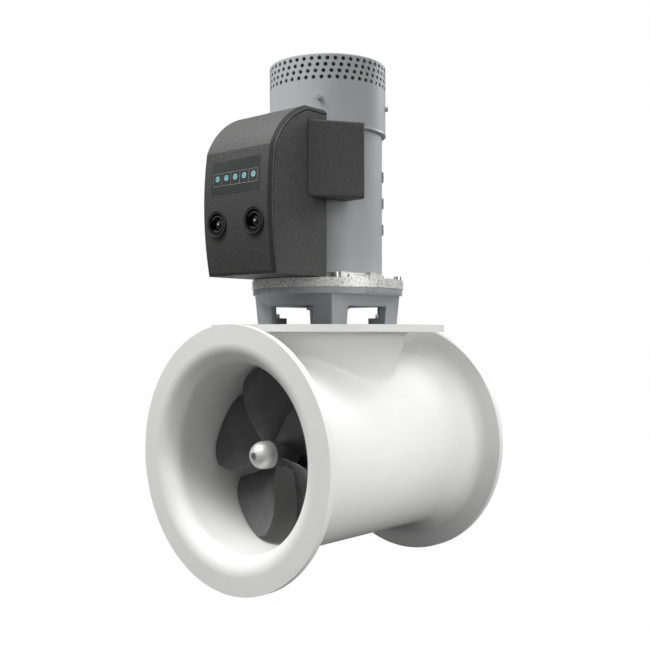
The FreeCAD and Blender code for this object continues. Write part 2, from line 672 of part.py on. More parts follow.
cap_holes = []
for reverse in (False, True):
    hole = new_sketch(gear_leg, "XZ_Plane", "-case_half_length" if reverse else "case_half_length")
    circle(hole, "cap_screw_radius", "cap_screw_circle", "0")
    cap_holes.append(pocket(gear_leg, hole, "cap_screw_length", reverse=reverse))
around(gear_leg, cap_holes, "cap_screw_count", "Y_Axis")


# Gear case: end caps, seals and bearings, the rear ones turned half round

cap_face = "(case_half_length + cap_length)"
screw_seat = "(case_half_length + cap_length / 2 - 2)"
seal_back = cap_face + " - seal_width - cap_lip"
bearing_next = "(bearing_start + prop_bearing_width + prop_bearing_gap)"


def along_tunnel(name, corners, end_turn):
    """Revolve (radius, distance from the crossing) corners about the tunnel axis."""
    body = new_body(name)
    turn(body, "XY_Plane", [(corner[0], "-(%s)" % corner[1]) + tuple(corner[2:])
                            for corner in corners])
    return turned_about_drive(body, end_turn)


def end_cap(end, half_turn):
    """Make one end cap with its screw seats."""
    cap = along_tunnel(end + "_case_cap", [
        ("prop_shaft_radius + cap_bore_gap", "case_half_length - cap_spigot"),
        ("case_bore_radius", "case_half_length - cap_spigot"),
        ("case_bore_radius", "case_half_length"),
        ("case_radius", "case_half_length"),
        ("case_radius", "case_half_length + cap_straight"),
        ("cap_nose_radius", cap_face),
        ("seal_radius", cap_face),
        ("seal_radius", seal_back),
        ("prop_shaft_radius + cap_bore_gap", seal_back),
    ], half_turn)
    hole = new_sketch(cap, "XZ_Plane", cap_face)
    circle(hole, "cap_screw_radius", "cap_screw_circle", "0")
    through = pocket(cap, hole, "cap_length + cut_spare")
    seat = new_sketch(cap, "XZ_Plane", cap_face)
    circle(seat, "cap_screw_radius + cap_seat_gap", "cap_screw_circle", "0")
    sunk = pocket(cap, seat, cap_face + " - " + screw_seat)
    around(cap, [through, sunk], "cap_screw_count", "Y_Axis")


for end, half_turn in ENDS:
    end_cap(end, half_turn)

cap_screws = new_body("case_cap_screws")
cap_screw_parts = []
for sign, reverse in (("", False), ("-", True)):
    for radius, length, back in (("cap_screw_radius", "cap_screw_length", not reverse),
                                 ("cap_screw_radius + cap_head_edge", "3", reverse)):
        sketch = new_sketch(cap_screws, "XZ_Plane", sign + screw_seat)
        circle(sketch, radius, "cap_screw_circle", "0")
        cap_screw_parts.append(pad(cap_screws, sketch, length, reverse=back))
around(cap_screws, cap_screw_parts, "cap_screw_count", "Y_Axis")


def both_ends(name, rings):
    """Make plain rings (inner, outer, near, far) on both halves of the tunnel axis."""
    body = new_body(name)
    features = [turn(body, "XY_Plane", [
        (inner, "-(%s)" % near), (inner, "-(%s)" % far),
        (outer, "-(%s)" % far), (outer, "-(%s)" % near),
    ]) for inner, outer, near, far in rings]
    mirrored(body, features, "XZ_Plane")


both_ends("prop_bearings", [
    ("prop_shaft_radius + running_gap", "case_bore_radius", "bearing_start",
     "bearing_start + prop_bearing_width"),
    ("prop_shaft_radius + running_gap", "case_bore_radius", bearing_next,
     bearing_next + " + prop_bearing_width"),
])
both_ends("bearing_spacers", [
    ("case_bore_radius - spacer_wall", "case_bore_radius", "bearing_start + prop_bearing_width",
     bearing_next),
])
both_ends("prop_seals", [
    ("prop_shaft_radius + running_gap", "seal_radius", seal_back, seal_back + " + seal_width"),
])

pinion_bearings = new_body("pinion_bearings")
for low in ("pinion_bearing_low", "pinion_bearing_high"):
    turn(pinion_bearings, "XZ_Plane", [
        ("pinion_shaft_radius + running_gap", low),
        ("pinion_bearing_radius", low),
        ("pinion_bearing_radius", low + " + pinion_bearing_width"),
        ("pinion_shaft_radius + running_gap", low + " + pinion_bearing_width"),
    ])
ring("leg_top_seal", "pinion_shaft_radius + running_gap", "pinion_bearing_radius",
     "pinion_bearing_high + pinion_bearing_width",
     "pinion_bearing_high + pinion_bearing_width + seal_width")


# Bevel gears: every tooth runs towards the crossing of the two axes

def tooth_section(teeth, pitch_angle, distance, cone_distance, module):
    """Draw one tooth across its pitch line, at a distance from the crossing."""
    scale = distance / cone_distance
    pitch_radius = module * teeth / 2 / math.cos(pitch_angle)
    pressure = math.radians(value("pressure_angle"))
    base_radius = pitch_radius * math.cos(pressure)
    root = pitch_radius - 1.25 * module
    tip = pitch_radius + module
    half_tooth = (math.pi * module / 2 - value("tooth_backlash") / 2) / 2 / pitch_radius
    involute = math.tan(pressure) - pressure
    flank = []
    steps = 4
    start = max(base_radius, root)
    for step in range(steps + 1):
        radius = start + (tip - start) * step / steps
        lean = math.acos(min(base_radius / radius, 1))
        angle = half_tooth + involute - (math.tan(lean) - lean)
        flank.append((radius, angle))
    if start > root:
        flank.insert(0, (root, flank[0][1]))
    flank.insert(0, (root - 0.6 * module, flank[0][1]))
    right = [(radius * math.sin(angle), radius * math.cos(angle)) for radius, angle in flank]
    left = [(-across, up) for across, up in reversed(right)]
    corners = []
    for across, up in right + left:
        rise = (up - pitch_radius) * scale
        along = distance * math.cos(pitch_angle) - rise * math.sin(pitch_angle)
        out = distance * math.sin(pitch_angle) + rise * math.cos(pitch_angle)
        corners.append(vec(across * scale, -out, along))
    return Part.makePolygon(corners + corners[:1])


def bevel_gear(teeth, mate_teeth, body_corners):
    """Make a gear about +Z with its apex at the crossing and a tooth towards -Y."""
    module = 2 * value("crown_pitch_radius") / value("crown_teeth")
    pitch_angle = math.atan2(teeth, mate_teeth)
    cone_distance = module * teeth / 2 / math.sin(pitch_angle)
    ends = (cone_distance - value("tooth_face"), cone_distance)
    sections = [tooth_section(teeth, pitch_angle, end, cone_distance, module) for end in ends]
    tooth = Part.makeLoft(sections, True, True)
    root_sink = 1.25 * module
    profile = []
    for end in ends:
        rise = -root_sink * end / cone_distance
        profile.append(vec(end * math.sin(pitch_angle) + rise * math.cos(pitch_angle), 0,
                           end * math.cos(pitch_angle) - rise * math.sin(pitch_angle)))
    small, large = profile
    outline_points = [vec(0, 0, small.z), small, large]
    outline_points += [vec(radius, 0, large.z + height) for radius, height in body_corners]
    outline_points.append(vec(0, 0, large.z + body_corners[-1][1]))
    outline_points.append(outline_points[0])
    blank = Part.Face(Part.makePolygon(outline_points)).revolve(vec(), vec(0, 0, 1), 360)
    copies = [tooth.rotated(vec(), vec(0, 0, 1), 360.0 * index / teeth) for index in range(teeth)]
    return blank.fuse(copies).removeSplitter(), large.z


pinion_teeth = int(value("pinion_teeth"))
crown_teeth = int(value("crown_teeth"))
crown_bore = value("prop_shaft_radius")
gear_height = value("crown_back")
pinion_solid, pinion_back = bevel_gear(pinion_teeth, crown_teeth, [
    (value("pinion_shaft_radius") + 2, 4),
    (value("pinion_shaft_radius"), 8),
])
pinion_stem = Part.makeCylinder(
    value("pinion_shaft_radius"), value("coupling_low + coupling_half") - pinion_back - 4,
    vec(0, 0, pinion_back + 4))
made_shape("pinion_shaft", pinion_solid.fuse(pinion_stem).removeSplitter())


def crown_gear(end, half_turn):
    """Make a crown gear on its own shaft, in mesh with the pinion."""
    solid, back = bevel_gear(crown_teeth, pinion_teeth, [
        (value("crown_pitch_radius") - 2, 4),
        (crown_bore + 5, 6),
        (crown_bore + 5, gear_height),
    ])
    bore = Part.makeCylinder(crown_bore, 4 * gear_height)
    solid = solid.cut(bore)
    lies = solid.copy()
    lies.rotate(vec(), vec(1, 0, 0), 90)
    tooth_at_top = 180.0 / crown_teeth
    lies.rotate(vec(), vec(0, 1, 0), 0 if end == "front" else tooth_at_top)
    if half_turn:
        lies.rotate(vec(), vec(0, 0, 1), 180)
    made_shape(end + "_crown_gear", lies)


for end, half_turn in ENDS:
    crown_gear(end, half_turn)


# Propeller shafts and what they carry, the rear set turned half round

nut_seat = "(hub_front - nut_height - nut_recess)"
shaft_end = "(hub_front - shaft_end_gap)"
pin_place = "(hub_back + drive_pin_radius + drive_pin_gap)"


def prop_shaft(end, half_turn):
    """Make a shaft with its threaded end, pin hole and anode screw hole."""
    shaft = along_tunnel(end + "_prop_shaft", [
        ("0", "prop_shaft_inner"),
        ("prop_shaft_radius", "prop_shaft_inner"),
        ("prop_shaft_radius", nut_seat),
        ("prop_shaft_radius - thread_step", nut_seat),
        ("prop_shaft_radius - thread_step", shaft_end),
        ("anode_screw_radius", shaft_end),
        ("anode_screw_radius", "hub_front + anode_length - anode_screw_recess - anode_screw_length"),
        ("0", "hub_front + anode_length - anode_screw_recess - anode_screw_length"),
    ], half_turn)
    pin_hole = new_sketch(shaft, "YZ_Plane")
    circle(pin_hole, "drive_pin_radius", "-" + pin_place, "0")
    pocket(shaft, pin_hole, "4 * prop_shaft_radius", middle=True)


def drive_pin(end, half_turn):
    """Make the cross pin that takes the torque into the hub."""
    body = new_body(end + "_drive_pin")
    sketch = new_sketch(body, "YZ_Plane")
    circle(sketch, "drive_pin_radius", "-" + pin_place, "0")
    pad(body, sketch, "2 * drive_pin_half_length", middle=True)
    turned_about_drive(body, half_turn)


def lock_nut(end, half_turn):
    """Make the hexagonal nut in the front of the hub."""
    body = new_body(end + "_lock_nut")
    sketch = new_sketch(body, "XZ_Plane", nut_seat)
    polygon(sketch, 6, "nut_radius")
    circle(sketch, "prop_shaft_radius - thread_step")
    pad(body, sketch, "nut_height")
    turned_about_drive(body, half_turn)


def anode(end, half_turn):
    """Make the domed anode with the seat of its screw."""
    dome_start = "(hub_front + anode_length - anode_radius)"
    seat = "(hub_front + anode_length - anode_screw_recess)"
    mouth = "anode_head_radius + anode_head_gap"
    along_tunnel(end + "_anode", [
        ("anode_screw_radius", "hub_front"),
        ("anode_radius", "hub_front"),
        ("anode_radius", dome_start),
        (mouth, dome_start + " + sqrt(anode_radius^2 - (anode_head_radius + anode_head_gap)^2)",
         "anode_radius", -1),
        (mouth, seat),
        ("anode_screw_radius", seat),
    ], half_turn)
    screw = screws(end + "_anode_screw", "XZ_Plane", "Y_Axis", seat, ("0", "0"), "1",
                   "anode_screw_radius", "anode_screw_length", "anode_head_radius", "5", key=0.5)
    turned_about_drive(screw, half_turn)


def blade_grid(side, hand):
    """Work out a grid of points on one face of a blade that stands along +X."""
    hub = value("hub_radius") - value("blade_bury")
    tip = value("blade_tip_radius")
    half_width = math.radians(value("blade_width")) / 2
    skew = math.radians(value("blade_skew"))
    advance = value("blade_pitch") / 2 / math.pi
    rows = []
    for out_step in range(BLADE_ROWS):
        share = out_step / (BLADE_ROWS - 1)
        row = []
        for step in range(BLADE_COLUMNS):
            lean = 2 * step / (BLADE_COLUMNS - 1) - 1
            rounded = value("corner_drop") * abs(lean) ** 5
            radius = hub + (tip - rounded - hub) * share
            angle = lean * half_width * (1 - 0.1 * share ** 4) - skew * (share ** 2 - 0.5)
            thick = value("blade_root_thickness") * (1 - share)
            thick += value("blade_tip_thickness") * share
            thin = value("blade_edge_thickness")
            half = (thin + (thick - thin) * (1 - lean ** 2)) / 2
            slope = math.atan2(advance, radius)
            angle += side * half * math.sin(slope) / radius
            along = advance * (angle + skew * (share ** 2 - 0.5)) - side * half * math.cos(slope)
            row.append(vec(radius * math.cos(angle), -hand * along, radius * math.sin(angle)))
        rows.append(row)
    return rows


BLADE_ROWS = 6
BLADE_COLUMNS = 9


def blade(hand):
    """Close the two faces of a blade with ruled strips along its four edges."""
    faces = []
    for side in (1, -1):
        surface = Part.BSplineSurface()
        surface.interpolate(blade_grid(side, hand))
        faces.append(surface)
    strips = []
    for iso, bounds in (("uIso", 0), ("uIso", 1), ("vIso", 2), ("vIso", 3)):
        curves = [getattr(face, iso)(face.bounds()[bounds]) for face in faces]
        strips.append(Part.makeRuledSurface(curves[0].toShape(), curves[1].toShape(), 1))
    shell = Part.Shell([face.toShape() for face in faces] + strips)
    shell.sewShape()
    solid = Part.Solid(shell)
    solid.fix(0.001, 0.001, 0.001)
    if solid.Volume < 0:
        solid.reverse()
    return solid


def propeller(end, hand, half_turn):
    """Fuse the blades to a hub that has its nut seat and pin slot."""
    radius = value("hub_radius")
    front = value("hub_front")
    back = value("hub_back")
    seat = value(nut_seat)
    toward = vec(0, -1, 0)
    hub = Part.makeCylinder(radius, front - back, vec(0, -back, 0), toward)
    one = blade(hand)
    one.translate(vec(0, -value("blade_plane"), 0))
    one.rotate(vec(), vec(0, 1, 0), -value("blade_turn"))
    count = int(value("blade_count"))
    copies = [one.rotated(vec(), vec(0, 1, 0), 360.0 * index / count) for index in range(count)]
    solid = hub.fuse(copies)
    bore = Part.makeCylinder(value("prop_shaft_radius"), front - back, vec(0, -back, 0), toward)
    nut_bore = Part.makeCylinder(value("nut_radius") + 1, front - seat, vec(0, -seat, 0), toward)
    pin = value("drive_pin_radius")
    half_pin = value("drive_pin_half_length")
    depth = value(pin_place) - back + pin
    slot = Part.makeBox(2 * half_pin, depth, 2 * pin, vec(-half_pin, -back - depth, -pin))
    solid = solid.cut([bore, nut_bore, slot]).removeSplitter()
    solid.rotate(vec(), vec(0, 0, 1), half_turn)
    made_shape(end + "_propeller", solid)


for end, half_turn in ENDS:
    prop_shaft(end, half_turn)
    drive_pin(end, half_turn)
    lock_nut(end, half_turn)
    anode(end, half_turn)
propeller("front", 1, 0)
propeller("rear", -1, 180)


# Motor bracket: square cast box on four legs with a round ring on top

motor_bracket = new_body("motor_bracket")
bracket_top = "deck_top + bracket_height"
flare = "atan((bracket_head - bracket_foot) / bracket_height)"


def rounded_square(sketch, half, corner):
    """Draw a square with round corners from its half side."""
    short = "((%s) - (%s))" % (half, corner)
    outline(sketch, [
        ("-" + short, "-" + half, corner, 1), (short, "-" + half),
        (half, "-" + short, corner, 1), (half, short),
        (short, half, corner, 1), ("-" + short, half),
        ("-" + half, short, corner, 1), ("-" + half, "-" + short),
    ])


foot_square = new_sketch(motor_bracket, "XY_Plane", "deck_top")
rounded_square(foot_square, "bracket_foot", "bracket_corner")
head_square = new_sketch(motor_bracket, "XY_Plane", bracket_top)
rounded_square(head_square, "bracket_head", "bracket_corner")
legs = motor_bracket.newObject("PartDesign::AdditiveLoft", "bracket_walls")
legs.Profile = foot_square
legs.Sections = [head_square]
legs.Ruled = True
hollow = new_sketch(motor_bracket, "XY_Plane", "deck_top")
rounded_square(hollow, "(bracket_foot - bracket_wall)", "(bracket_corner - 4)")
pocket(motor_bracket, hollow, "bracket_height - bracket_roof", reverse=True)
lug = new_sketch(motor_bracket, "XY_Plane", "deck_top")
lug_outer = "bracket_foot - bracket_wall / 2"
lug_inner = "bracket_foot - bracket_wall - foot_lug"
rectangle(lug, lug_inner, lug_outer, lug_inner, lug_outer)
lug_pad = pad(motor_bracket, lug, "foot_lug_height")
around(motor_bracket, [lug_pad], "4")
for plane in ("XZ_Plane", "YZ_Plane"):
    window = new_sketch(motor_bracket, plane)
    rectangle(window, "-window_width / 2", "window_width / 2", "deck_top - 1",
              "deck_top + window_height")
    pocket(motor_bracket, window, "2 * bracket_head + 2", middle=True)
ring_disc = new_sketch(motor_bracket, "XY_Plane", bracket_top)
circle(ring_disc, "ring_radius")
pad(motor_bracket, ring_disc, "ring_thickness")
ring_top = bracket_top + " + ring_thickness"
centre_hole = new_sketch(motor_bracket, "XY_Plane", ring_top)
circle(centre_hole, "bracket_hole")
pocket(motor_bracket, centre_hole, "ring_thickness + bracket_roof + 1")
foot_holes(motor_bracket, "deck_top + foot_lug_height", "foot_lug_height + 1",
           "foot_bolt_radius + seat_gap")


def plate_bolt_sketch(body, height, draw, radius):
    """Draw the four places of the plate bolts at a height."""
    sketch = new_sketch(body, "XY_Plane", height)
    for across in ("-plate_bolt_across", "plate_bolt_across"):
        for along in ("-plate_bolt_along", "plate_bolt_along"):
            draw(sketch, radius, across, along)
    return sketch


def hexagon(sketch, radius, across, up):
    """Draw a hexagon by its circumscribed radius."""
    polygon(sketch, 6, radius, across, up)


pocket(motor_bracket, plate_bolt_sketch(motor_bracket, ring_top, circle, "plate_bolt_radius"),
       "ring_thickness")

bracket_bolts = screws("bracket_bolts", "XY_Plane", "Z_Axis", "deck_top + foot_lug_height",
                       ("foot_bolt_place", "foot_bolt_place"), "4", "foot_bolt_radius",
                       "foot_bolt_depth", "foot_bolt_head", "foot_bolt_radius * 1.4")


# Adapter plate and its bolts

plate_top = ring_top + " + plate_thickness"
adapter_plate = new_body("adapter_plate")
plate_sketch = new_sketch(adapter_plate, "XY_Plane", ring_top)
circle(plate_sketch, "plate_radius")
circle(plate_sketch, "bracket_hole")
pad(adapter_plate, plate_sketch, "plate_thickness")
pocket(adapter_plate, plate_bolt_sketch(adapter_plate, plate_top, circle, "plate_bolt_radius"),
       "plate_thickness")

plate_bolts = new_body("plate_bolts")
bolt_top = plate_top + " + plate_bolt_head_height"
pad(plate_bolts, plate_bolt_sketch(plate_bolts, plate_top, circle, "plate_bolt_radius"),
    "plate_thickness + ring_thickness", reverse=True)
pad(plate_bolts, plate_bolt_sketch(plate_bolts, plate_top, circle, "plate_bolt_head"),
    "plate_bolt_head_height")
pocket(plate_bolts, plate_bolt_sketch(plate_bolts, bolt_top, hexagon, "plate_bolt_head * 0.55"),
       "plate_bolt_head_height * 0.6")


# Motor: end shields, yoke, poles and vent cover

yoke_low = "(%s + shield_pad_height)" % plate_top
yoke_inner = "(yoke_radius - yoke_wall)"
yoke_top = "(%s + yoke_height)" % yoke_low

lower_shield = new_body("lower_end_shield")
turn(lower_shield, "XZ_Plane", [
    ("motor_bearing_radius", plate_top),
    ("yoke_radius", plate_top),
    ("yoke_radius", yoke_low),
    (yoke_inner, yoke_low),
    (yoke_inner, yoke_low + " + shield_spigot"),
    (yoke_inner + " - shield_lip", yoke_low + " + shield_spigot"),
    (yoke_inner + " - shield_lip", plate_top + " + shield_web"),
    ("motor_bearing_radius + bearing_wall", plate_top + " + shield_web"),
    ("motor_bearing_radius + bearing_wall", plate_top + " + motor_bearing_width"),
    ("motor_bearing_radius", plate_top + " + motor_bearing_width"),
])
foot_slot = new_sketch(lower_shield, "XZ_Plane", "yoke_radius - shield_slot_depth")
rectangle(foot_slot, "-shield_slot / 2", "shield_slot / 2", plate_top, yoke_low)
slot_cut = pocket(lower_shield, foot_slot, "20", reverse=True)
around(lower_shield, [slot_cut], "shield_slot_count")

motor_yoke = new_body("motor_yoke")
turn(motor_yoke, "XZ_Plane", [
    (yoke_inner, yoke_low), ("yoke_radius", yoke_low),
    ("yoke_radius", yoke_top), (yoke_inner, yoke_top),
])
screw_hole = new_sketch(motor_yoke, "YZ_Plane", yoke_inner + " - cut_spare")
for index in range(3):
    circle(screw_hole, "pole_screw_radius / 2", "0",
           "%s + pole_screw_low + %d * pole_screw_pitch" % (yoke_low, index))
hole_cut = pocket(motor_yoke, screw_hole, "yoke_wall + 2 * cut_spare", reverse=True)
around(motor_yoke, [hole_cut], "4")
turned_about_drive(motor_yoke, "pole_turn")

pole_low_face = "(%s + pole_low)" % yoke_low
shoe_inner = "(armature_radius + air_gap)"
pole_shoes = new_body("pole_shoes")
shoe = new_sketch(pole_shoes, "XY_Plane", pole_low_face)
sector(shoe, shoe_inner, shoe_inner + " + shoe_thickness", -33, 33)
shoe_pad = pad(pole_shoes, shoe, "pole_height")
core = new_sketch(pole_shoes, "XY_Plane", pole_low_face)
sector(core, shoe_inner + " + shoe_thickness - cut_spare", yoke_inner, -13, 13)
core_pad = pad(pole_shoes, core, "pole_height")
tapped = new_sketch(pole_shoes, "YZ_Plane", yoke_inner)
for index in range(3):
    circle(tapped, "pole_screw_radius / 2", "0",
           "%s + pole_screw_low + %d * pole_screw_pitch" % (yoke_low, index))
tapped_cut = pocket(pole_shoes, tapped, "8")
around(pole_shoes, [shoe_pad, core_pad, tapped_cut], "4")
turned_about_drive(pole_shoes, "pole_turn")

field_coils = new_body("field_coils")
coil = new_sketch(field_coils, "XY_Plane", pole_low_face + " - coil_overhang")
sector(coil, shoe_inner + " + 8.5", yoke_inner + " - 0.5", -30, 30)
coil_pad = pad(field_coils, coil, "pole_height + 2 * coil_overhang")
coil_hole = new_sketch(field_coils, "XY_Plane", pole_low_face)
sector(coil_hole, shoe_inner + " + 2", yoke_inner + " + 6", -13.5, 13.5)
coil_cut = pocket(field_coils, coil_hole, "pole_height", reverse=True)
around(field_coils, [coil_pad, coil_cut], "4")
turned_about_drive(field_coils, "pole_turn")

pole_screws = new_body("pole_screws")
screw_parts = []
for plane_place, radius, length, reverse in (
        ("yoke_radius", "pole_screw_radius", "pole_screw_head", False),
        ("yoke_radius", "pole_screw_radius / 2", "yoke_wall + 8", True)):
    screw_sketch = new_sketch(pole_screws, "YZ_Plane", plane_place)
    for index in range(3):
        circle(screw_sketch, radius, "0",
               "%s + pole_screw_low + %d * pole_screw_pitch" % (yoke_low, index))
    screw_parts.append(pad(pole_screws, screw_sketch, length, reverse=reverse))
around(pole_screws, screw_parts, "4")
turned_about_drive(pole_screws, "pole_turn")

shield_top = "(%s + shield_height)" % yoke_top
upper_shield = new_body("upper_end_shield")
turn(upper_shield, "XZ_Plane", [
    (yoke_inner, yoke_top + " - shield_spigot"),
    (yoke_inner, yoke_top),
    ("yoke_radius", yoke_top),
    ("yoke_radius", shield_top),
    ("band_radius - band_wall", shield_top),
    ("band_radius - band_wall", shield_top + " + shield_flange"),
    ("motor_bearing_radius", shield_top + " + shield_flange"),
    ("motor_bearing_radius", shield_top + " + shield_flange - motor_bearing_width"),
    ("motor_bearing_radius + bearing_wall", shield_top + " + shield_flange - motor_bearing_width"),
    ("motor_bearing_radius + bearing_wall", shield_top + " + shield_flange - shield_web"),
    ("yoke_radius - shield_wall", shield_top + " + shield_flange - shield_web"),
    ("yoke_radius - shield_wall", yoke_top + " + 3"),
    (yoke_inner + " - shield_lip", yoke_top + " + 3"),
    (yoke_inner + " - shield_lip", yoke_top + " - shield_spigot"),
])
brush_window = new_sketch(upper_shield, "YZ_Plane", "yoke_radius - shield_slot_depth")
rectangle(brush_window, "-shield_window / 2", "shield_window / 2", yoke_top + " + window_margin",
          shield_top + " - window_margin")
window_cut = pocket(upper_shield, brush_window, "20", reverse=True)
around(upper_shield, [window_cut], "4")

motor_foot = plate_top
vent_cover = new_body("vent_cover")
turn(vent_cover, "XZ_Plane", [
    ("yoke_radius + seat_gap", motor_foot + " + band_low"),
    ("band_radius - band_low_edge", motor_foot + " + band_low"),
    ("band_radius", motor_foot + " + band_low + band_low_edge"),
    ("band_radius", motor_foot + " + band_top - band_top_edge"),
    ("band_radius - band_top_edge", motor_foot + " + band_top"),
    ("0", motor_foot + " + band_top"),
    ("0", motor_foot + " + band_top - band_wall"),
    ("band_radius - band_wall", motor_foot + " + band_top - band_wall"),
    ("band_radius - band_wall", motor_foot + " + band_low + band_lip"),
    ("yoke_radius + seat_gap", motor_foot + " + band_low + band_lip"),
])

band_screw_height_up = "%s + band_top - band_screw_drop" % motor_foot
band_holes = new_sketch(vent_cover, "YZ_Plane", "band_radius - band_wall - cut_spare")
circle(band_holes, "band_screw_radius / 2", "0", band_screw_height_up)
band_hole = pocket(vent_cover, band_holes, "band_wall + 2 * cut_spare", reverse=True)
around(vent_cover, [band_hole], "4")
VENT_SIDES = 8
vents = []
for row in range(int(value("vent_rows"))):
    vent = radial_sketch(vent_cover, "band_radius - band_wall - cut_spare", "%d * vent_row_turn" % row)
    polygon(vent, VENT_SIDES, "vent_radius", "0",
            "%s + band_top - vent_first_drop - %d * vent_row_pitch" % (motor_foot, row), 22.5)
    vents.append(pocket(vent_cover, vent, "band_wall + 2 * cut_spare", reverse=True))
around(vent_cover, vents, "vent_count")
turned_about_drive(vent_cover, "band_screw_turn")
shield_holes = new_sketch(upper_shield, "YZ_Plane", "band_radius")
circle(shield_holes, "band_screw_radius / 2", "0", band_screw_height_up)
shield_hole = pocket(upper_shield, shield_holes, "20")
around(upper_shield, [shield_hole], "4")
turned_about_drive(upper_shield, "band_screw_turn")
band_screws = screws("band_screws", "YZ_Plane", "Z_Axis", "band_radius",
                     ("0", band_screw_height_up), "4", "band_screw_radius / 2", "14",
                     "band_screw_radius", "band_screw_height")
turned_about_drive(band_screws, "band_screw_turn")

motor_bearings = new_body("motor_bearings")
for low in (plate_top, shield_top + " + shield_flange - motor_bearing_width"):
    turn(motor_bearings, "XZ_Plane", [
        ("motor_shaft_radius + running_gap", low),
        ("motor_bearing_radius", low),
        ("motor_bearing_radius", low + " + motor_bearing_width"),
        ("motor_shaft_radius + running_gap", low + " + motor_bearing_width"),
    ])


# Armature, commutator and brushes

shaft_low = "(coupling_low + coupling_half + coupling_spider)"
motor_shaft = new_body("motor_shaft")
turn(motor_shaft, "XZ_Plane", [
    ("0", shaft_low), ("pinion_shaft_radius", shaft_low),
    ("pinion_shaft_radius", plate_top + " - 2"),
    ("motor_shaft_radius", plate_top + " - 2"),
    ("motor_shaft_radius", shield_top + " + shield_flange + shaft_end_reach"),
    ("0", shield_top + " + shield_flange + shaft_end_reach"),
])
core_top = "(%s + pole_height)" % pole_low_face
slot_floor = "(armature_radius - slot_depth)"

armature_core = new_body("armature_core")
core_disc = new_sketch(armature_core, "XY_Plane", pole_low_face)
circle(core_disc, "armature_radius")
circle(core_disc, "motor_shaft_radius")
pad(armature_core, core_disc, "pole_height")
slot = new_sketch(armature_core, "XY_Plane", core_top)
rectangle(slot, slot_floor, "armature_radius + 1", "-slot_width / 2", "slot_width / 2")
slot_pocket = pocket(armature_core, slot, "pole_height")
around(armature_core, [slot_pocket], "armature_slots")

armature_winding = new_body("armature_winding")
bar = new_sketch(armature_winding, "XY_Plane", pole_low_face + " - end_turn")
rectangle(bar, slot_floor, "armature_radius - 2", "-slot_width / 2", "slot_width / 2")
bar_pad = pad(armature_winding, bar, "pole_height + 2 * end_turn")
around(armature_winding, [bar_pad], "armature_slots")
for low in (pole_low_face + " - end_turn", core_top):
    turn(armature_winding, "XZ_Plane", [
        (slot_floor + " - end_turn_inset", low), ("end_turn_radius", low),
        ("end_turn_radius", low + " + end_turn"), (slot_floor + " - end_turn_inset", low + " + end_turn"),
    ])

commutator_low = "(%s + end_turn + commutator_gap)" % core_top
commutator = new_body("commutator")
turn(commutator, "XZ_Plane", [
    ("motor_shaft_radius", commutator_low),
    ("commutator_radius + riser_height", commutator_low),
    ("commutator_radius + riser_height", commutator_low + " + riser_length"),
    ("commutator_radius", commutator_low + " + riser_length"),
    ("commutator_radius", commutator_low + " + commutator_height"),
    ("motor_shaft_radius", commutator_low + " + commutator_height"),
])
groove = new_sketch(commutator, "XY_Plane", commutator_low + " + commutator_height")
rectangle(groove, "commutator_radius - 2", "commutator_radius + 5", "-0.4", "0.4")
groove_cut = pocket(commutator, groove, "commutator_height")
around(commutator, [groove_cut], "commutator_bars")

brush_low = "(%s + brush_rise)" % commutator_low
brushes = new_body("brushes")
brush = new_sketch(brushes, "XY_Plane", brush_low)
rectangle(brush, "commutator_radius + seat_gap", "commutator_radius + brush_length",
          "-brush_width / 2", "brush_width / 2")
brush_pad = pad(brushes, brush, "brush_height")
around(brushes, [brush_pad], "4")
turned_about_drive(brushes, "pole_turn")

brush_holders = new_body("brush_holders")
holder_top = "(%s + brush_height)" % brush_low
plate_ring = new_sketch(brush_holders, "XY_Plane", holder_top)
circle(plate_ring, "yoke_radius - shield_wall")
circle(plate_ring, "commutator_radius + 6")
pad(brush_holders, plate_ring, "holder_height")
holder = new_sketch(brush_holders, "XY_Plane", holder_top)
rectangle(holder, "commutator_radius + 5", "commutator_radius + brush_length + 4",
          "-brush_width / 2 - holder_wall", "brush_width / 2 + holder_wall")
holder_pad = pad(brush_holders, holder, "brush_height - 3", reverse=True)
guide = new_sketch(brush_holders, "XY_Plane", holder_top)
rectangle(guide, "commutator_radius + 4", "commutator_radius + brush_length",
          "-brush_width / 2", "brush_width / 2")
guide_cut = pocket(brush_holders, guide, "brush_height")
around(brush_holders, [holder_pad, guide_cut], "4")
turned_about_drive(brush_holders, "pole_turn")


# Shaft coupling: two jawed halves and a rubber spider

spider_low = "(coupling_low + coupling_half)"
JAWS = 3


def coupling_half(name, low, jaw_low, first_jaw, bore):
    """Make one half: a hub with three jaws that stand into the spider."""
    body = new_body(name)
    hub = new_sketch(body, "XY_Plane", low)
    circle(hub, "coupling_radius")
    circle(hub, bore)
    pad(body, hub, "coupling_half")
    jaw = new_sketch(body, "XY_Plane", jaw_low)
    sector(jaw, "(coupling_radius / 2)", "coupling_radius", first_jaw - 22, first_jaw + 22)
    jaw_pad = pad(body, jaw, "coupling_spider")
    around(body, [jaw_pad], str(JAWS))


coupling_half("pinion_coupling", "coupling_low", spider_low, 0, "pinion_shaft_radius")
coupling_half("motor_coupling", spider_low + " + coupling_spider", spider_low, 60,
              "pinion_shaft_radius")
coupling_spider = new_body("coupling_spider")
spider_ring = new_sketch(coupling_spider, "XY_Plane", spider_low)
circle(spider_ring, "coupling_radius / 2")
spider_core = pad(coupling_spider, spider_ring, "coupling_spider")
arm = new_sketch(coupling_spider, "XY_Plane", spider_low)
sector(arm, "(coupling_radius / 2 - 1)", "coupling_radius", 22, 38)
arm_pad = pad(coupling_spider, arm, "coupling_spider")
around(coupling_spider, [arm_pad], str(2 * JAWS))


# Control box: moulded cover, back plate and what they hold

box_floor = "(%s + box_low)" % plate_top


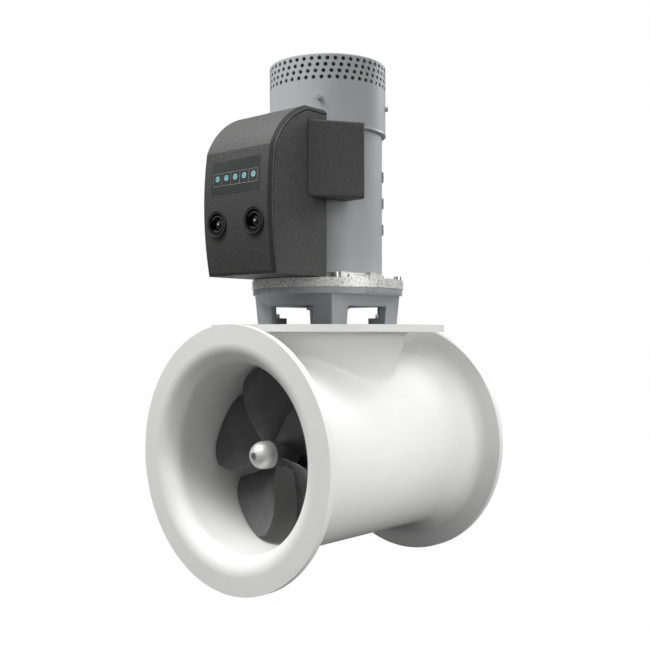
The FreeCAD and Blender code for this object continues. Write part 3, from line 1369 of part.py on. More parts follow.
def bow(height, inset):
    """Give the front face's distance from the drive axis at a height, inset by a wall."""
    reach = "(box_bow_radius - (%s))" % inset
    return "(box_front - box_bow_radius + sqrt(%s^2 - ((%s) - box_bow_height)^2))" % (
        reach, height)


def box_profile(inset):
    """Give the side outline of the control box, inset by a wall all round but behind."""
    floor = "%s + %s" % (box_floor, inset)
    bend = "(box_bend_height)"
    top = "(box_top - %s)" % inset
    ridge = "(box_ridge)"
    return [
        ("-box_rear", floor),
        ("-box_rear", top),
        ("-" + ridge, top),
        ("-" + bow(bend, inset), bend, "(box_hood_radius - %s)" % inset, 1),
        ("-" + bow(floor, inset), floor, "(box_bow_radius - %s)" % inset, 1),
    ]


cover = new_body("control_box_cover")
cover_side = new_sketch(cover, "YZ_Plane")
outline(cover_side, box_profile("0"))
pad(cover, cover_side, "2 * box_half_width", middle=True)


def is_side_edge(edge):
    """Pick the outer edges along both sides of the cover, but not those behind."""
    box = edge.BoundBox
    side = abs(abs(box.Center.x) - value("box_half_width")) < 0.01 and box.XLength < 0.01
    return side and box.YMin < -value("box_rear") - 1 and box.ZMax > value(box_floor) + 1


round_edges(cover, is_side_edge, "box_edge", "Chamfer")
inside = new_sketch(cover, "YZ_Plane")
outline(inside, [("-box_rear + 5", "%s + box_wall" % box_floor),
                 ("-box_rear + 5", "box_top - box_wall")] + box_profile("box_wall")[2:])
pocket(cover, inside, "2 * (box_half_width - box_wall)", middle=True)
motor_room = new_sketch(cover, "XY_Plane", "box_top")
circle(motor_room, "band_radius + 0.3")
pocket(cover, motor_room, "box_top")
socket_seat = "(socket_front - socket_flange)"
for radius, start in (("socket_recess + socket_wall + seat_gap", "(box_rear + 20)"),
                      ("socket_radius + seat_gap", socket_seat)):
    socket_holes = new_sketch(cover, "XZ_Plane", start)
    for across in ("-socket_place", "socket_place"):
        circle(socket_holes, radius, across, "socket_height")
    pocket(cover, socket_holes, "box_front", reverse=True)
screw_place = "(back_plate_place + boss_side / 2)"
cover_holes = new_sketch(cover, "XY_Plane", "box_top + 1")
for across in ("-cover_screw_place", "cover_screw_place"):
    circle(cover_holes, "cover_screw_radius", across, "-" + screw_place)
pocket(cover, cover_holes, "box_wall + 2")

label_plate = new_body("label_plate")
label = new_sketch(label_plate, "YZ_Plane")
label_back = "label_proud - label_thickness"
outline(label, [
    ("-" + bow("label_low", "-label_proud"), "label_low",
     "(box_bow_radius + label_proud)", 1),
    ("-" + bow("label_low", "-(%s)" % label_back), "label_low"),
    ("-" + bow("label_high", "-(%s)" % label_back), "label_high",
     "(box_bow_radius + %s)" % label_back, -1),
    ("-" + bow("label_high", "-label_proud"), "label_high"),
])
pad(label_plate, label, "2 * label_half_width", middle=True)
label_recess = new_sketch(cover, "YZ_Plane")
outline(label_recess, [
    ("-box_front - 5", "label_low - seat_gap"),
    ("-" + bow("label_low - seat_gap", "-(%s)" % label_back), "label_low - seat_gap"),
    ("-" + bow("label_high + seat_gap", "-(%s)" % label_back), "label_high + seat_gap",
     "(box_bow_radius + %s)" % label_back, -1),
    ("-box_front - 5", "label_high + seat_gap"),
])
pocket(cover, label_recess, "2 * (label_half_width + seat_gap)", middle=True)

back_plate = new_body("control_box_back")
back_face = "(back_plate_place)"
back_sketch = new_sketch(back_plate, "XZ_Plane", back_face)
rectangle(back_sketch, "-(box_half_width - box_wall - seat_gap)",
          "box_half_width - box_wall - seat_gap",
          box_floor + " + box_wall + seat_gap", "box_top - box_wall - seat_gap")
pad(back_plate, back_sketch, "back_plate")
saddle = new_sketch(back_plate, "XZ_Plane", back_face)
for low in ("%s + 30" % box_floor, "yoke_height + %s - 30" % yoke_low):
    rectangle(saddle, "-saddle_half_width", "saddle_half_width", low, low + " + saddle_height")
pad(back_plate, saddle, "back_plate_place - 60", reverse=True)
motor_shape = new_sketch(back_plate, "XY_Plane", "box_top")
circle(motor_shape, "yoke_radius")
pocket(back_plate, motor_shape, "box_top")
band_shape = new_sketch(back_plate, "XY_Plane", "box_top")
circle(band_shape, "band_radius + 0.3")
pocket(back_plate, band_shape, "box_top - (%s) - band_low + 1" % motor_foot)

board_seat = "board_place - back_plate_place"
posts = new_sketch(back_plate, "XZ_Plane", back_face)
for across in ("-standoff_across", "standoff_across"):
    for up in ("board_low + standoff_inset", "board_high - standoff_inset"):
        circle(posts, "standoff_radius", across, up)
pad(back_plate, posts, board_seat)
bosses = new_sketch(back_plate, "XY_Plane", "box_top - box_wall - seat_gap")
for middle in ("-cover_screw_place", "cover_screw_place"):
    rectangle(bosses, middle + " - boss_side / 2", middle + " + boss_side / 2",
              "-back_plate_place - boss_side", "-back_plate_place")
pad(back_plate, bosses, "boss_height", reverse=True)
boss_holes = new_sketch(back_plate, "XY_Plane", "box_top")
for across in ("-cover_screw_place", "cover_screw_place"):
    circle(boss_holes, "cover_screw_radius", across, "-" + screw_place)
pocket(back_plate, boss_holes, "cover_screw_length")

cover_screws = new_body("cover_screws")
for radius, length, reverse in (("cover_screw_radius", "cover_screw_length", True),
                                ("cover_screw_head", "cover_screw_radius", False)):
    sketch = new_sketch(cover_screws, "XY_Plane", "box_top")
    for across in ("-cover_screw_place", "cover_screw_place"):
        circle(sketch, radius, across, "-" + screw_place)
    pad(cover_screws, sketch, length, reverse=reverse)

power_sockets = new_body("power_sockets")
socket_back = "(socket_front - socket_depth)"


def socket_circles(body, place, radius):
    """Draw a circle at each of the two sockets, on a plane across the tunnel axis."""
    sketch = new_sketch(body, "XZ_Plane", place)
    for across in ("-socket_place", "socket_place"):
        circle(sketch, radius, across, "socket_height")
    return sketch


pad(power_sockets, socket_circles(power_sockets, socket_seat, "socket_radius"), "socket_flange")
pad(power_sockets, socket_circles(power_sockets, socket_back, "socket_recess + socket_wall"),
    "socket_depth - socket_flange")
pocket(power_sockets, socket_circles(power_sockets, "socket_front", "socket_recess"),
       "socket_depth - socket_floor")
pad(power_sockets, socket_circles(power_sockets, socket_back, "socket_bush"),
    "socket_depth - bush_drop")
pocket(power_sockets, socket_circles(power_sockets, "socket_front", "stud_radius"),
       "socket_depth + 1")
terminal_studs = new_body("terminal_studs")
pad(terminal_studs, socket_circles(terminal_studs, "socket_front - stud_recess", "stud_radius"),
    "socket_depth - stud_recess + stud_tail", reverse=True)

contactors = new_body("contactors")
contactor_foot = "(%s + box_wall)" % box_floor
contactor_sketch = new_sketch(contactors, "XY_Plane", contactor_foot)
for across in ("-contactor_spread", "contactor_spread"):
    circle(contactor_sketch, "contactor_radius", across,
           "-(back_plate_place + back_plate + contactor_radius)")
pad(contactors, contactor_sketch, "contactor_length")

busbars = new_body("busbars")
contactor_top = "(%s + contactor_length)" % contactor_foot
bar_place = "(%s - stud_tail + 3)" % socket_back
bar_sketch = new_sketch(busbars, "YZ_Plane", "contactor_spread")
outline(bar_sketch, [
    ("-" + bar_place, contactor_top),
    ("-(back_plate_place + back_plate + contactor_radius)", contactor_top),
    ("-(back_plate_place + back_plate + contactor_radius)", contactor_top + " + bar_thickness"),
    ("-(%s - bar_thickness)" % bar_place, contactor_top + " + bar_thickness"),
    ("-(%s - bar_thickness)" % bar_place, "socket_height + bar_width / 2"),
    ("-" + bar_place, "socket_height + bar_width / 2"),
])
bar_pad = pad(busbars, bar_sketch, "bar_width")
mirrored(busbars, [bar_pad], "YZ_Plane")
pocket(busbars, socket_circles(busbars, "box_front", "stud_radius"), "box_front")

control_board = new_body("control_board")
board = new_sketch(control_board, "XZ_Plane", "board_place")
rectangle(board, "-board_half_width", "board_half_width", "board_low", "board_high")
pad(control_board, board, "board_thickness")
for left, right, low, high, tall in (
        ("-50", "-24", "board_low + 18", "board_low + 44", "12"),
        ("-14", "22", "board_low + 30", "board_low + 66", "4"),
        ("30", "50", "board_low + 16", "board_low + 60", "16")):
    chip = new_sketch(control_board, "XZ_Plane", "board_place + board_thickness")
    rectangle(chip, left, right, low, high)
    pad(control_board, chip, tall)


# Side hood over the motor terminals

side_hood = new_body("side_hood")
hood_slope = "((pod_front - pod_corner) / (pod_reach - box_half_width))"


def hood_line(across):
    """Give the place on the slanted wall's inner face at a distance from the middle."""
    return "(-pod_front + %s * (%s - box_half_width) + pod_wall * sqrt(1 + %s^2))" % (
        hood_slope, across, hood_slope)


hood_sketch = new_sketch(side_hood, "XY_Plane", "pod_low")
outline(hood_sketch, [
    ("box_half_width", "-pod_front"),
    ("pod_reach", "-pod_corner"),
    ("pod_reach - 8", "-pod_back"),
    ("pod_root", "-pod_back"),
    ("box_half_width", "-pod_back - 14"),
])
pad(side_hood, hood_sketch, "pod_high - pod_low")


def is_hood_edge(edge):
    """Pick the outer edges of the hood, clear of the box and of the motor."""
    box = edge.BoundBox
    return box.XMax > value("pod_reach") - 9 and box.XMin > value("box_half_width") - 1


round_edges(side_hood, is_hood_edge, "pod_edge")
hood_room = new_sketch(side_hood, "XY_Plane", "pod_low + pod_wall")
inner_reach = "(pod_reach - 2 * pod_wall)"
outline(hood_room, [
    ("box_half_width - 1", hood_line("(box_half_width - 1)")),
    (inner_reach, hood_line(inner_reach)),
    ("pod_reach - 8 - pod_wall", "-pod_back - pod_wall"),
    ("pod_root - 10", "-pod_back - pod_wall"),
    ("box_half_width - 1", "-pod_back - pod_wall - 10"),
])
pocket(side_hood, hood_room, "pod_high - pod_low - 2 * pod_wall", reverse=True)

motor_terminals = new_body("motor_terminals")
terminal_seat = "yoke_radius - 10"
for body, out in ((motor_terminals, True), (motor_yoke, False)):
    turned = "terminal_turn" if out else "(terminal_turn - pole_turn)"
    sketch = radial_sketch(body, terminal_seat if out else "yoke_radius + 1", turned)
    for up in ("terminal_height - terminal_spread", "terminal_height + terminal_spread"):
        circle(sketch, "terminal_radius", "0", up)
    if out:
        pad(body, sketch, "terminal_length + 10")
    else:
        pocket(body, sketch, "11")


# Checks and files

doc.recompute()
nodes = [item for item in doc.Objects
         if item.TypeId == "PartDesign::Body" or item.TypeId == "Part::Feature"]
failed = [item.Name for item in doc.Objects
          if "Invalid" in item.State or "Error" in item.State]
failed += [item.Name for item in nodes if item.Shape.isNull() or not item.Shape.isValid()]
if failed:
    raise RuntimeError("these did not build: " + ", ".join(failed))
for item in nodes:
    item.Shape.exportStep("parts/%s.step" % item.Label)
print(len(nodes), "sub-parts")
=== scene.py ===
"""Looks of an electric tunnel thruster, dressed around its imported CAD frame.

The frame's axes: +Z runs up the motor, +Y along the tunnel away from the control box, and
+X points at the side hood. All lengths in this file are metres unless a name says otherwise.
"""

import logging
import math
from abc import ABC, abstractmethod
from collections.abc import Callable, Sequence
from dataclasses import dataclass
from enum import Enum

import bmesh
import bpy
from mathutils import Matrix, Vector
from mathutils.bvhtree import BVHTree

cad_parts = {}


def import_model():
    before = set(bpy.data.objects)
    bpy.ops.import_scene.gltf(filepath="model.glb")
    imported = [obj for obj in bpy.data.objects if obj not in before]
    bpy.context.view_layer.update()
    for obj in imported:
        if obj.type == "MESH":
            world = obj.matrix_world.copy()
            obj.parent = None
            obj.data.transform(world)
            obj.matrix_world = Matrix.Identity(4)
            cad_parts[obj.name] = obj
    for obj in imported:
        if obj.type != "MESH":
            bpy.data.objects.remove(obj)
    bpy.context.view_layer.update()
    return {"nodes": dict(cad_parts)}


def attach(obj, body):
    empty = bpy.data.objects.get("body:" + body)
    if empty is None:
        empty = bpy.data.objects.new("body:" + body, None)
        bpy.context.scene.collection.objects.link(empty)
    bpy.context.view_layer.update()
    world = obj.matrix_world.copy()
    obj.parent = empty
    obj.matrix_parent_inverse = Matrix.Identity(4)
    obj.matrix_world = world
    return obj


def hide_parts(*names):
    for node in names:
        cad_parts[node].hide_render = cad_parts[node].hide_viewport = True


LOG = logging.getLogger("thruster")
MM = 0.001
HAIR = 0.01 * MM
LOOK_PREFIX = "look_"
HOUSING = "housing"
WHITE = (1.0, 1.0, 1.0, 1.0)
UP = Vector((0.0, 0.0, 1.0))
FORWARD = Vector((0.0, -1.0, 0.0))
UPRIGHT = Matrix.Identity(4)
Colour = tuple[float, float, float]
Point = tuple[float, float, float]
Pair = tuple[float, float]
Node = bpy.types.Node
Shape = bmesh.types.BMesh
Nodes = dict[str, bpy.types.Object]


class Slot(Enum):
    """The record's material slots."""

    BRACKET = "bracket_paint"
    CASTING = "raw_cast_aluminium"
    SCREWS = "stainless_screws"
    MOTOR = "grey_motor_paint"
    COVER = "cover_plastic"
    SOCKET = "socket_plastic"
    LABEL = "label_film"


class Side(Enum):
    """The sides of the control box, as signs along X."""

    LEFT = -1
    RIGHT = 1


class Grain(Enum):
    """Shapes of fine surface relief."""

    NOISE = "ShaderNodeTexNoise"
    CELLS = "ShaderNodeTexVoronoi"


# Materials


def set_sockets(node: Node, **values: object) -> None:
    """Set a node's sockets by name.

    Args:
        node: The node.
        **values: Socket values, with blanks in socket names written as underscores.
    """
    for name, value in values.items():
        node.inputs[name.replace("_", " ")].default_value = value


def add_node(tree: bpy.types.NodeTree, kind: str, **values: object) -> Node:
    """Add a node to a tree.

    Args:
        tree: The node tree.
        kind: The node's type name.
        **values: Socket values, named as in set_sockets.

    Returns:
        The new node.
    """
    node = tree.nodes.new(kind)
    set_sockets(node, **values)
    return node


def join(tree: bpy.types.NodeTree, *links: tuple[Node, str | int, Node, str | int]) -> None:
    """Link nodes of a tree.

    Args:
        tree: The node tree.
        *links: For each link a node, its output, the next node and its input.
    """
    for start, output, end, socket in links:
        tree.links.new(start.outputs[output], end.inputs[socket])


def mix_into(output: Node, share: Node, first: Node, second: Node) -> None:
    """Mix two shaders into a tree's output.

    Args:
        output: The output node.
        share: Gives the second shader's share.
        first: The first shader.
        second: The second shader.
    """
    mix = add_node(output.id_data, "ShaderNodeMixShader")
    join(output.id_data, (share, 0, mix, 0), (first, 0, mix, 1), (second, 0, mix, 2),
         (mix, 0, output, "Surface"))


class Graph:
    """A material's node tree round one Principled shader."""

    def __init__(self, name: str) -> None:
        """Start the material.

        Args:
            name: The material's name.
        """
        self.material = bpy.data.materials.new(LOOK_PREFIX + name)
        self.material.use_nodes = True
        self.tree = self.material.node_tree
        self.tree.nodes.clear()
        self.shader = add_node(self.tree, "ShaderNodeBsdfPrincipled")
        self.place = add_node(self.tree, "ShaderNodeTexCoord")
        output = add_node(self.tree, "ShaderNodeOutputMaterial")
        join(self.tree, (self.shader, "BSDF", output, "Surface"))

    def texture(self, grain: Grain, scale: float, detail: float = 4.0,
                stretch: Point | None = None) -> Node:
        """Add a noise or cell texture over the object's own coordinates.

        Args:
            grain: The kind of texture.
            scale: Its features per metre.
            detail: Octaves of a noise texture.
            stretch: Factors on the coordinates.

        Returns:
            The texture node.
        """
        node = add_node(self.tree, grain.value, Scale=scale)
        if grain is Grain.NOISE:
            set_sockets(node, Detail=detail)
        if stretch is None:
            join(self.tree, (self.place, "Object", node, "Vector"))
            return node
        mapping = add_node(self.tree, "ShaderNodeMapping", Scale=stretch)
        join(self.tree, (self.place, "Object", mapping, "Vector"),
             (mapping, "Vector", node, "Vector"))
        return node

    def relief(self, source: Node, height: float, output: str = "Fac",
               below: Node | None = None) -> Node:
        """Give the shader a bump from a texture.

        Args:
            source: The texture node.
            height: The relief's height.
            output: The name of the texture's output.
            below: An earlier relief node that this one adds to.

        Returns:
            The bump node.
        """
        node = add_node(self.tree, "ShaderNodeBump", Strength=1.0, Distance=height)
        join(self.tree, (source, output, node, "Height"), (node, "Normal", self.shader, "Normal"))
        if below is not None:
            join(self.tree, (below, "Normal", node, "Normal"))
        return node


@dataclass(frozen=True)
class Finish(ABC):
    """One surface finish, with its roughness and how far that sways down and up."""

    name: str
    colour: Colour
    roughness: float = 0.4
    sway: Pair = (-0.06, 0.06)

    @abstractmethod
    def paint(self, graph: Graph) -> None:
        """Fill in the material's nodes.

        Args:
            graph: The material's node tree.
        """

    def material(self) -> bpy.types.Material:
        """Find the finish's material, or make it the first time.

        Returns:
            The material.
        """
        found = bpy.data.materials.get(LOOK_PREFIX + self.name)
        if found is not None:
            return found
        graph = Graph(self.name)
        self.paint(graph)
        return graph.material

    def tone(self, graph: Graph, source: Node, *stops: Pair) -> None:
        """Colour the shader with lighter and darker shades that follow a texture.

        Args:
            graph: The material's node tree.
            source: The texture node.
            *stops: Places from 0 to 1, each with a factor on the finish's colour.
        """
        ramp = add_node(graph.tree, "ShaderNodeValToRGB")
        elements = ramp.color_ramp.elements
        for index, (place, factor) in enumerate(stops):
            element = elements[index] if index < len(elements) else elements.new(place)
            element.position = place
            element.color = (*(min(channel * factor, 1.0) for channel in self.colour), 1.0)
        join(graph.tree, (source, "Fac", ramp, "Fac"),
             (ramp, "Color", graph.shader, "Base Color"))

    def gloss(self, graph: Graph, source: Node, output: str = "Fac") -> None:
        """Let the roughness sway with a texture.

        Args:
            graph: The material's node tree.
            source: The texture node.
            output: The name of its output, which runs from 0 to 1.
        """
        down, up = self.sway
        node = add_node(graph.tree, "ShaderNodeMapRange", To_Min=self.roughness + down,
                        To_Max=self.roughness + up)
        join(graph.tree, (source, output, node, "Value"),
             (node, "Result", graph.shader, "Roughness"))


@dataclass(frozen=True)
class Gelcoat(Finish):
    """Glossy moulded gel coat over glass fibre, faintly uneven."""

    roughness: float = 0.46
    cloud_scale: float = 9.0
    ripple_scale: float = 60.0
    weave_scale: float = 34.0
    weave_height: float = 0.00012
    coat: float = 0.08
    coat_roughness: float = 0.3
    glint: float = 0.32

    def paint(self, graph: Graph) -> None:
        """Fill in the material's nodes."""
        cloud = graph.texture(Grain.NOISE, self.cloud_scale, 3.0)
        self.tone(graph, cloud, (0.3, 0.975), (0.7, 1.01))
        self.gloss(graph, graph.texture(Grain.NOISE, self.ripple_scale, 2.0))
        graph.relief(graph.texture(Grain.NOISE, self.weave_scale, 1.0), self.weave_height)
        set_sockets(graph.shader, Specular_IOR_Level=self.glint, Coat_Weight=self.coat,
                    Coat_Roughness=self.coat_roughness)


@dataclass(frozen=True)
class Mottled(Finish):
    """A finish whose tone and gloss follow a noise, and its relief the same or a finer one."""

    stops: tuple[Pair, ...] = ((0.3, 0.85), (0.7, 1.15))
    scale: float = 30.0
    detail: float = 3.0
    stretch: Point | None = None
    relief: float = 0.00005
    relief_scale: float | None = None
    metallic: float = 0.0

    def paint(self, graph: Graph) -> None:
        """Fill in the material's nodes."""
        cloud = graph.texture(Grain.NOISE, self.scale, self.detail, self.stretch)
        self.tone(graph, cloud, *self.stops)
        self.gloss(graph, cloud)
        fine = cloud
        if self.relief_scale is not None:
            fine = graph.texture(Grain.NOISE, self.relief_scale, 2.0)
        graph.relief(fine, self.relief)
        set_sockets(graph.shader, Metallic=self.metallic)


@dataclass(frozen=True)
class Paint(Mottled):
    """Sprayed paint with orange peel and slightly varied gloss."""

    roughness: float = 0.36
    sway: Pair = (-0.07, 0.07)
    stops: tuple[Pair, ...] = ((0.3, 0.94), (0.7, 1.05))
    scale: float = 14.0
    detail: float = 5.0
    relief: float = 0.00006
    relief_scale: float | None = 420.0


@dataclass(frozen=True)
class Metal(Mottled):
    """Machined or plated metal with fine scratches along one direction."""

    roughness: float = 0.28
    sway: Pair = (-0.1, 0.12)
    stops: tuple[Pair, ...] = ((0.3, 0.85), (0.7, 1.08))
    scale: float = 160.0
    detail: float = 5.0
    stretch: Point | None = (1.0, 1.0, 14.0)
    relief: float = 0.00003
    metallic: float = 1.0


@dataclass(frozen=True)
class CastZinc(Mottled):
    """Sacrificial zinc, mottled and lightly polished."""

    roughness: float = 0.44
    sway: Pair = (-0.1, 0.2)
    stops: tuple[Pair, ...] = ((0.34, 0.8), (0.5, 1.0), (0.66, 1.12))
    scale: float = 420.0
    detail: float = 8.0
    relief: float = 0.00018
    metallic: float = 0.6


@dataclass(frozen=True)
class SmoothPlastic(Mottled):
    """Moulded plastic, rubber or print without a grain."""

    roughness: float = 0.35
    sway: Pair = (-0.05, 0.08)
    relief_scale: float | None = 300.0


@dataclass(frozen=True)
class RawCasting(Finish):
    """Unpainted cast aluminium with light and dark specks."""

    roughness: float = 0.5
    sway: Pair = (-0.15, 0.2)
    dark: float = 0.62
    speck_scale: float = 260.0
    speck_height: float = 0.00015
    pit_scale: float = 520.0
    pit_height: float = 0.0001
    metallic: float = 0.55

    def paint(self, graph: Graph) -> None:
        """Fill in the material's nodes."""
        specks = graph.texture(Grain.NOISE, self.speck_scale, 6.0)
        self.tone(graph, specks, (0.36, self.dark), (0.47, 0.95), (0.66, 1.16))
        self.gloss(graph, specks)
        pits = graph.texture(Grain.CELLS, self.pit_scale)
        below = graph.relief(pits, self.pit_height, "Distance")
        graph.relief(specks, self.speck_height, below=below)
        set_sockets(graph.shader, Metallic=self.metallic)


@dataclass(frozen=True)
class GrainedPlastic(Finish):
    """Moulded plastic with a fine leather-like grain."""

    roughness: float = 0.5
    sway: Pair = (-0.08, 0.1)
    grain_scale: float = 560.0
    depth: float = 0.0004
    fine_share: float = 0.6
    flatness: Point = (0.5, 0.5, 1.3)

    def paint(self, graph: Graph) -> None:
        """Fill in the material's nodes."""
        fine = graph.texture(Grain.NOISE, self.grain_scale, 3.0, self.flatness)
        self.tone(graph, fine, (0.36, 0.7), (0.64, 1.32))
        grain = graph.texture(Grain.CELLS, self.grain_scale)
        coarse = graph.relief(grain, self.depth, "Distance")
        graph.relief(fine, self.depth * self.fine_share, below=coarse)
        self.gloss(graph, grain, "Distance")


@dataclass(frozen=True)
class WoundWire(Finish):
    """Varnished wire laid in close turns."""

    turn_scale: float = 340.0
    turn_height: float = 0.0003
    unevenness: float = 1.2
    metallic: float = 0.7

    def paint(self, graph: Graph) -> None:
        """Fill in the material's nodes."""
        wire = add_node(graph.tree, "ShaderNodeTexWave", Scale=self.turn_scale,
                        Distortion=self.unevenness)
        wire.bands_direction = "Z"
        join(graph.tree, (graph.place, "Object", wire, "Vector"))
        self.tone(graph, wire, (0.1, 0.35), (0.6, 1.1))
        graph.relief(wire, self.turn_height)
        set_sockets(graph.shader, Metallic=self.metallic, Roughness=self.roughness)


WHITE_GELCOAT = Gelcoat("white_gelcoat", (0.83, 0.83, 0.82))
MOTOR_GREY = Paint("motor_grey_paint", (0.41, 0.416, 0.424), roughness=0.48)
BRACKET_GREY = Paint("bracket_grey_paint", (0.30, 0.315, 0.33), roughness=0.5, relief=0.00012,
                     relief_scale=260.0)
CASE_BLACK = Paint("case_black_paint", (0.022, 0.022, 0.024), roughness=0.38)
RAW_CASTING = RawCasting("raw_casting", (0.72, 0.72, 0.71))
COVER_PLASTIC = GrainedPlastic("cover_plastic", (0.048, 0.048, 0.047))
# Painted shade: a darker copy of the cover plastic for the bevel band and the lower lip, where
# the rounded edges turn into shade.
COVER_SHADE = GrainedPlastic("cover_edge_plastic", (0.02, 0.02, 0.02), roughness=0.6)
SOCKET_BLACK = SmoothPlastic("socket_black", (0.011, 0.011, 0.012), roughness=0.4)
BLADE_BLACK = SmoothPlastic("blade_black", (0.098, 0.098, 0.1), roughness=0.3)
SEAL_RUBBER = SmoothPlastic("seal_rubber", (0.02, 0.02, 0.02), roughness=0.7)
SPIDER_RED = SmoothPlastic("spider_rubber", (0.22, 0.03, 0.02), roughness=0.6)
INNER_PLASTIC = SmoothPlastic("inner_plastic", (0.08, 0.08, 0.085), roughness=0.5)
GASKET_FIBRE = SmoothPlastic("gasket_fibre", (0.2, 0.17, 0.13), roughness=0.85)
LABEL_FILM = SmoothPlastic("label_film", (0.03, 0.031, 0.031), roughness=0.42, relief=0.00001)
LABEL_CYAN = SmoothPlastic("label_cyan_print", (0.30, 0.62, 0.70), roughness=0.4, relief=0.00001)
LABEL_LINE = SmoothPlastic("label_line_print", (0.30, 0.31, 0.31), roughness=0.5, relief=0.00001)
BOARD_GREEN = SmoothPlastic("board_green", (0.02, 0.16, 0.07), roughness=0.4)
CARBON = SmoothPlastic("brush_carbon", (0.03, 0.03, 0.03), roughness=0.6)
STAINLESS = Metal("stainless_steel", (0.62, 0.61, 0.59))
BRIGHT_STEEL = Metal("bright_steel", (0.82, 0.81, 0.79), roughness=0.2)
SHAFT_STEEL = Metal("shaft_steel", (0.56, 0.56, 0.57), stretch=(1.0, 1.0, 0.1))
CORE_STEEL = Metal("core_steel", (0.32, 0.32, 0.33), roughness=0.45, stretch=(1.0, 1.0, 60.0))
BRASS = Metal("holder_brass", (0.66, 0.49, 0.22), roughness=0.3)
COPPER = Metal("commutator_copper", (0.68, 0.36, 0.2), roughness=0.28)
COUPLING_METAL = Metal("coupling_metal", (0.5, 0.51, 0.53), roughness=0.35)
WINDING = WoundWire("wound_copper", (0.5, 0.2, 0.07))
ZINC = CastZinc("anode_zinc", (0.84, 0.84, 0.83))

# Painted highlight: a lighter copy of the cover plastic for the bead along the cover's edges.
COVER_HIGHLIGHT = SmoothPlastic("cover_light_edge", (0.09, 0.09, 0.09), roughness=0.5)
SOCKET_EDGE = SmoothPlastic("socket_edge", (0.04, 0.04, 0.04), roughness=0.4)
# Painted shade: darker paint round the vent holes for the shade at their edges.
HOLE_SHADE = Paint("hole_edge_paint", (0.13, 0.133, 0.136), roughness=0.5)
SHADOW_BLACK = SmoothPlastic("shadow_gap_black", (0.008, 0.008, 0.008), roughness=0.8)
# Painted highlight: light diffuse paint on the stud tips for the glint on their ends.
STUD_TIP_HIGHLIGHT = Paint("stud_tip_plating", (0.78, 0.78, 0.77), roughness=0.3)
STUD_STEEL = Metal("stud_steel", (0.6, 0.6, 0.6), roughness=0.3)
# Painted highlight: paint lighter than the motor's for the bright line on the ring at the vent
# cover's lower edge.
SKIRT_HIGHLIGHT = Paint("skirt_ring_paint", (0.66, 0.67, 0.68), roughness=0.3, metallic=0.4)


# Meshes


def clean_mesh(work: Shape, name: str, sharp_degrees: float) -> bpy.types.Mesh:
    """Turn a bmesh into a smoothly shaded mesh with sharp edges by angle.

    Args:
        work: The bmesh, which is freed.
        name: The mesh's name.
        sharp_degrees: Edges that bend by more than this stay sharp.

    Returns:
        The mesh.
    """
    mesh = bpy.data.meshes.new(name)
    work.to_mesh(mesh)
    work.free()
    mesh.shade_smooth()
    mesh.set_sharp_from_angle(angle=math.radians(sharp_degrees))
    return mesh


def place_piece(name: str, work: Shape, finish: Finish,
                sharp_degrees: float = 30.0) -> bpy.types.Object:
    """Add a shape as a finished piece that rides on the housing.

    Args:
        name: The piece's name.
        work: Its shape in the frame's coordinates, which is freed.
        finish: Its finish.
        sharp_degrees: Edges that bend by more than this stay sharp.

    Returns:
        The new object.
    """
    mesh = clean_mesh(work, name, sharp_degrees)
    mesh.materials.clear()
    mesh.materials.append(finish.material())
    piece = bpy.data.objects.new(name, mesh)
    bpy.context.scene.collection.objects.link(piece)
    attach(piece, HOUSING)
    LOG.info("%s: %d faces", name, len(mesh.polygons))
    return piece


def swept(count: int, section: Callable[[int], list[Vector]], closed: bool = False) -> Shape:
    """Join a row of equal rings of points into a closed skin.

    Args:
        count: The number of rings.
        section: Gives the points of the ring with a number.
        closed: True if the last ring joins the first.

    Returns:
        The skin as a bmesh.
    """
    work = bmesh.new()
    rings = [[work.verts.new(point) for point in section(index)] for index in range(count)]
    pairs = list(zip(rings, rings[1:]))
    if closed:
        pairs.append((rings[-1], rings[0]))
    for first, second in pairs:
        for index in range(len(first)):
            following = (index + 1) % len(first)
            work.faces.new((first[index], first[following], second[following], second[index]))
    if not closed:
        work.faces.new(list(reversed(rings[0])))
        work.faces.new(rings[-1])
    bmesh.ops.recalc_face_normals(work, faces=work.faces)
    return work


def turned(profile: Sequence[Pair], angle: float) -> list[Vector]:
    """Turn a profile about the Z axis.

    Args:
        profile: Radius and height of each corner.
        angle: The turn from +X in radians.

    Returns:
        The corners in space.
    """
    return [Vector((radius * math.cos(angle), radius * math.sin(angle), height))
            for radius, height in profile]


def lathe(profile: Sequence[Pair], axis: Matrix, steps: int) -> Shape:
    """Turn a closed profile all round an axis.

    Args:
        profile: Radius and height of each corner.
        axis: Places the turned shape, whose own axis is +Z.
        steps: Segments round the axis.

    Returns:
        The turned shape as a bmesh.
    """
    def section(index: int) -> list[Vector]:
        """Give the profile turned to one segment."""
        return [axis @ corner for corner in turned(profile, math.tau * index / steps)]

    return swept(steps, section, closed=True)


def arc_block(radii: Pair, heights: Pair, turn: Pair, degrees: float = 8.0) -> Shape:
    """Make a block that follows a circle about the Z axis.

    Args:
        radii: Its inner and outer radius.
        heights: Its lower and upper height.
        turn: Its first and last angle in degrees.
        degrees: About the angle of one segment.

    Returns:
        The block as a bmesh.
    """
    start, end = (math.radians(angle) for angle in turn)
    steps = max(2, round((end - start) / math.radians(degrees)))
    (inner, outer), (low, high) = radii, heights
    corners = [(inner, low), (outer, low), (outer, high), (inner, high)]

    def section(index: int) -> list[Vector]:
        """Give the block's section at one angle."""
        return turned(corners, start + (end - start) * index / steps)

    return swept(steps + 1, section)


def merge(work: Shape, part: Shape) -> None:
    """Put a shape into another one.

    Args:
        work: Takes the shape.
        part: The shape, which is freed.
    """
    mesh = bpy.data.meshes.new("merging")
    part.to_mesh(mesh)
    part.free()
    work.from_mesh(mesh)
    bpy.data.meshes.remove(mesh)


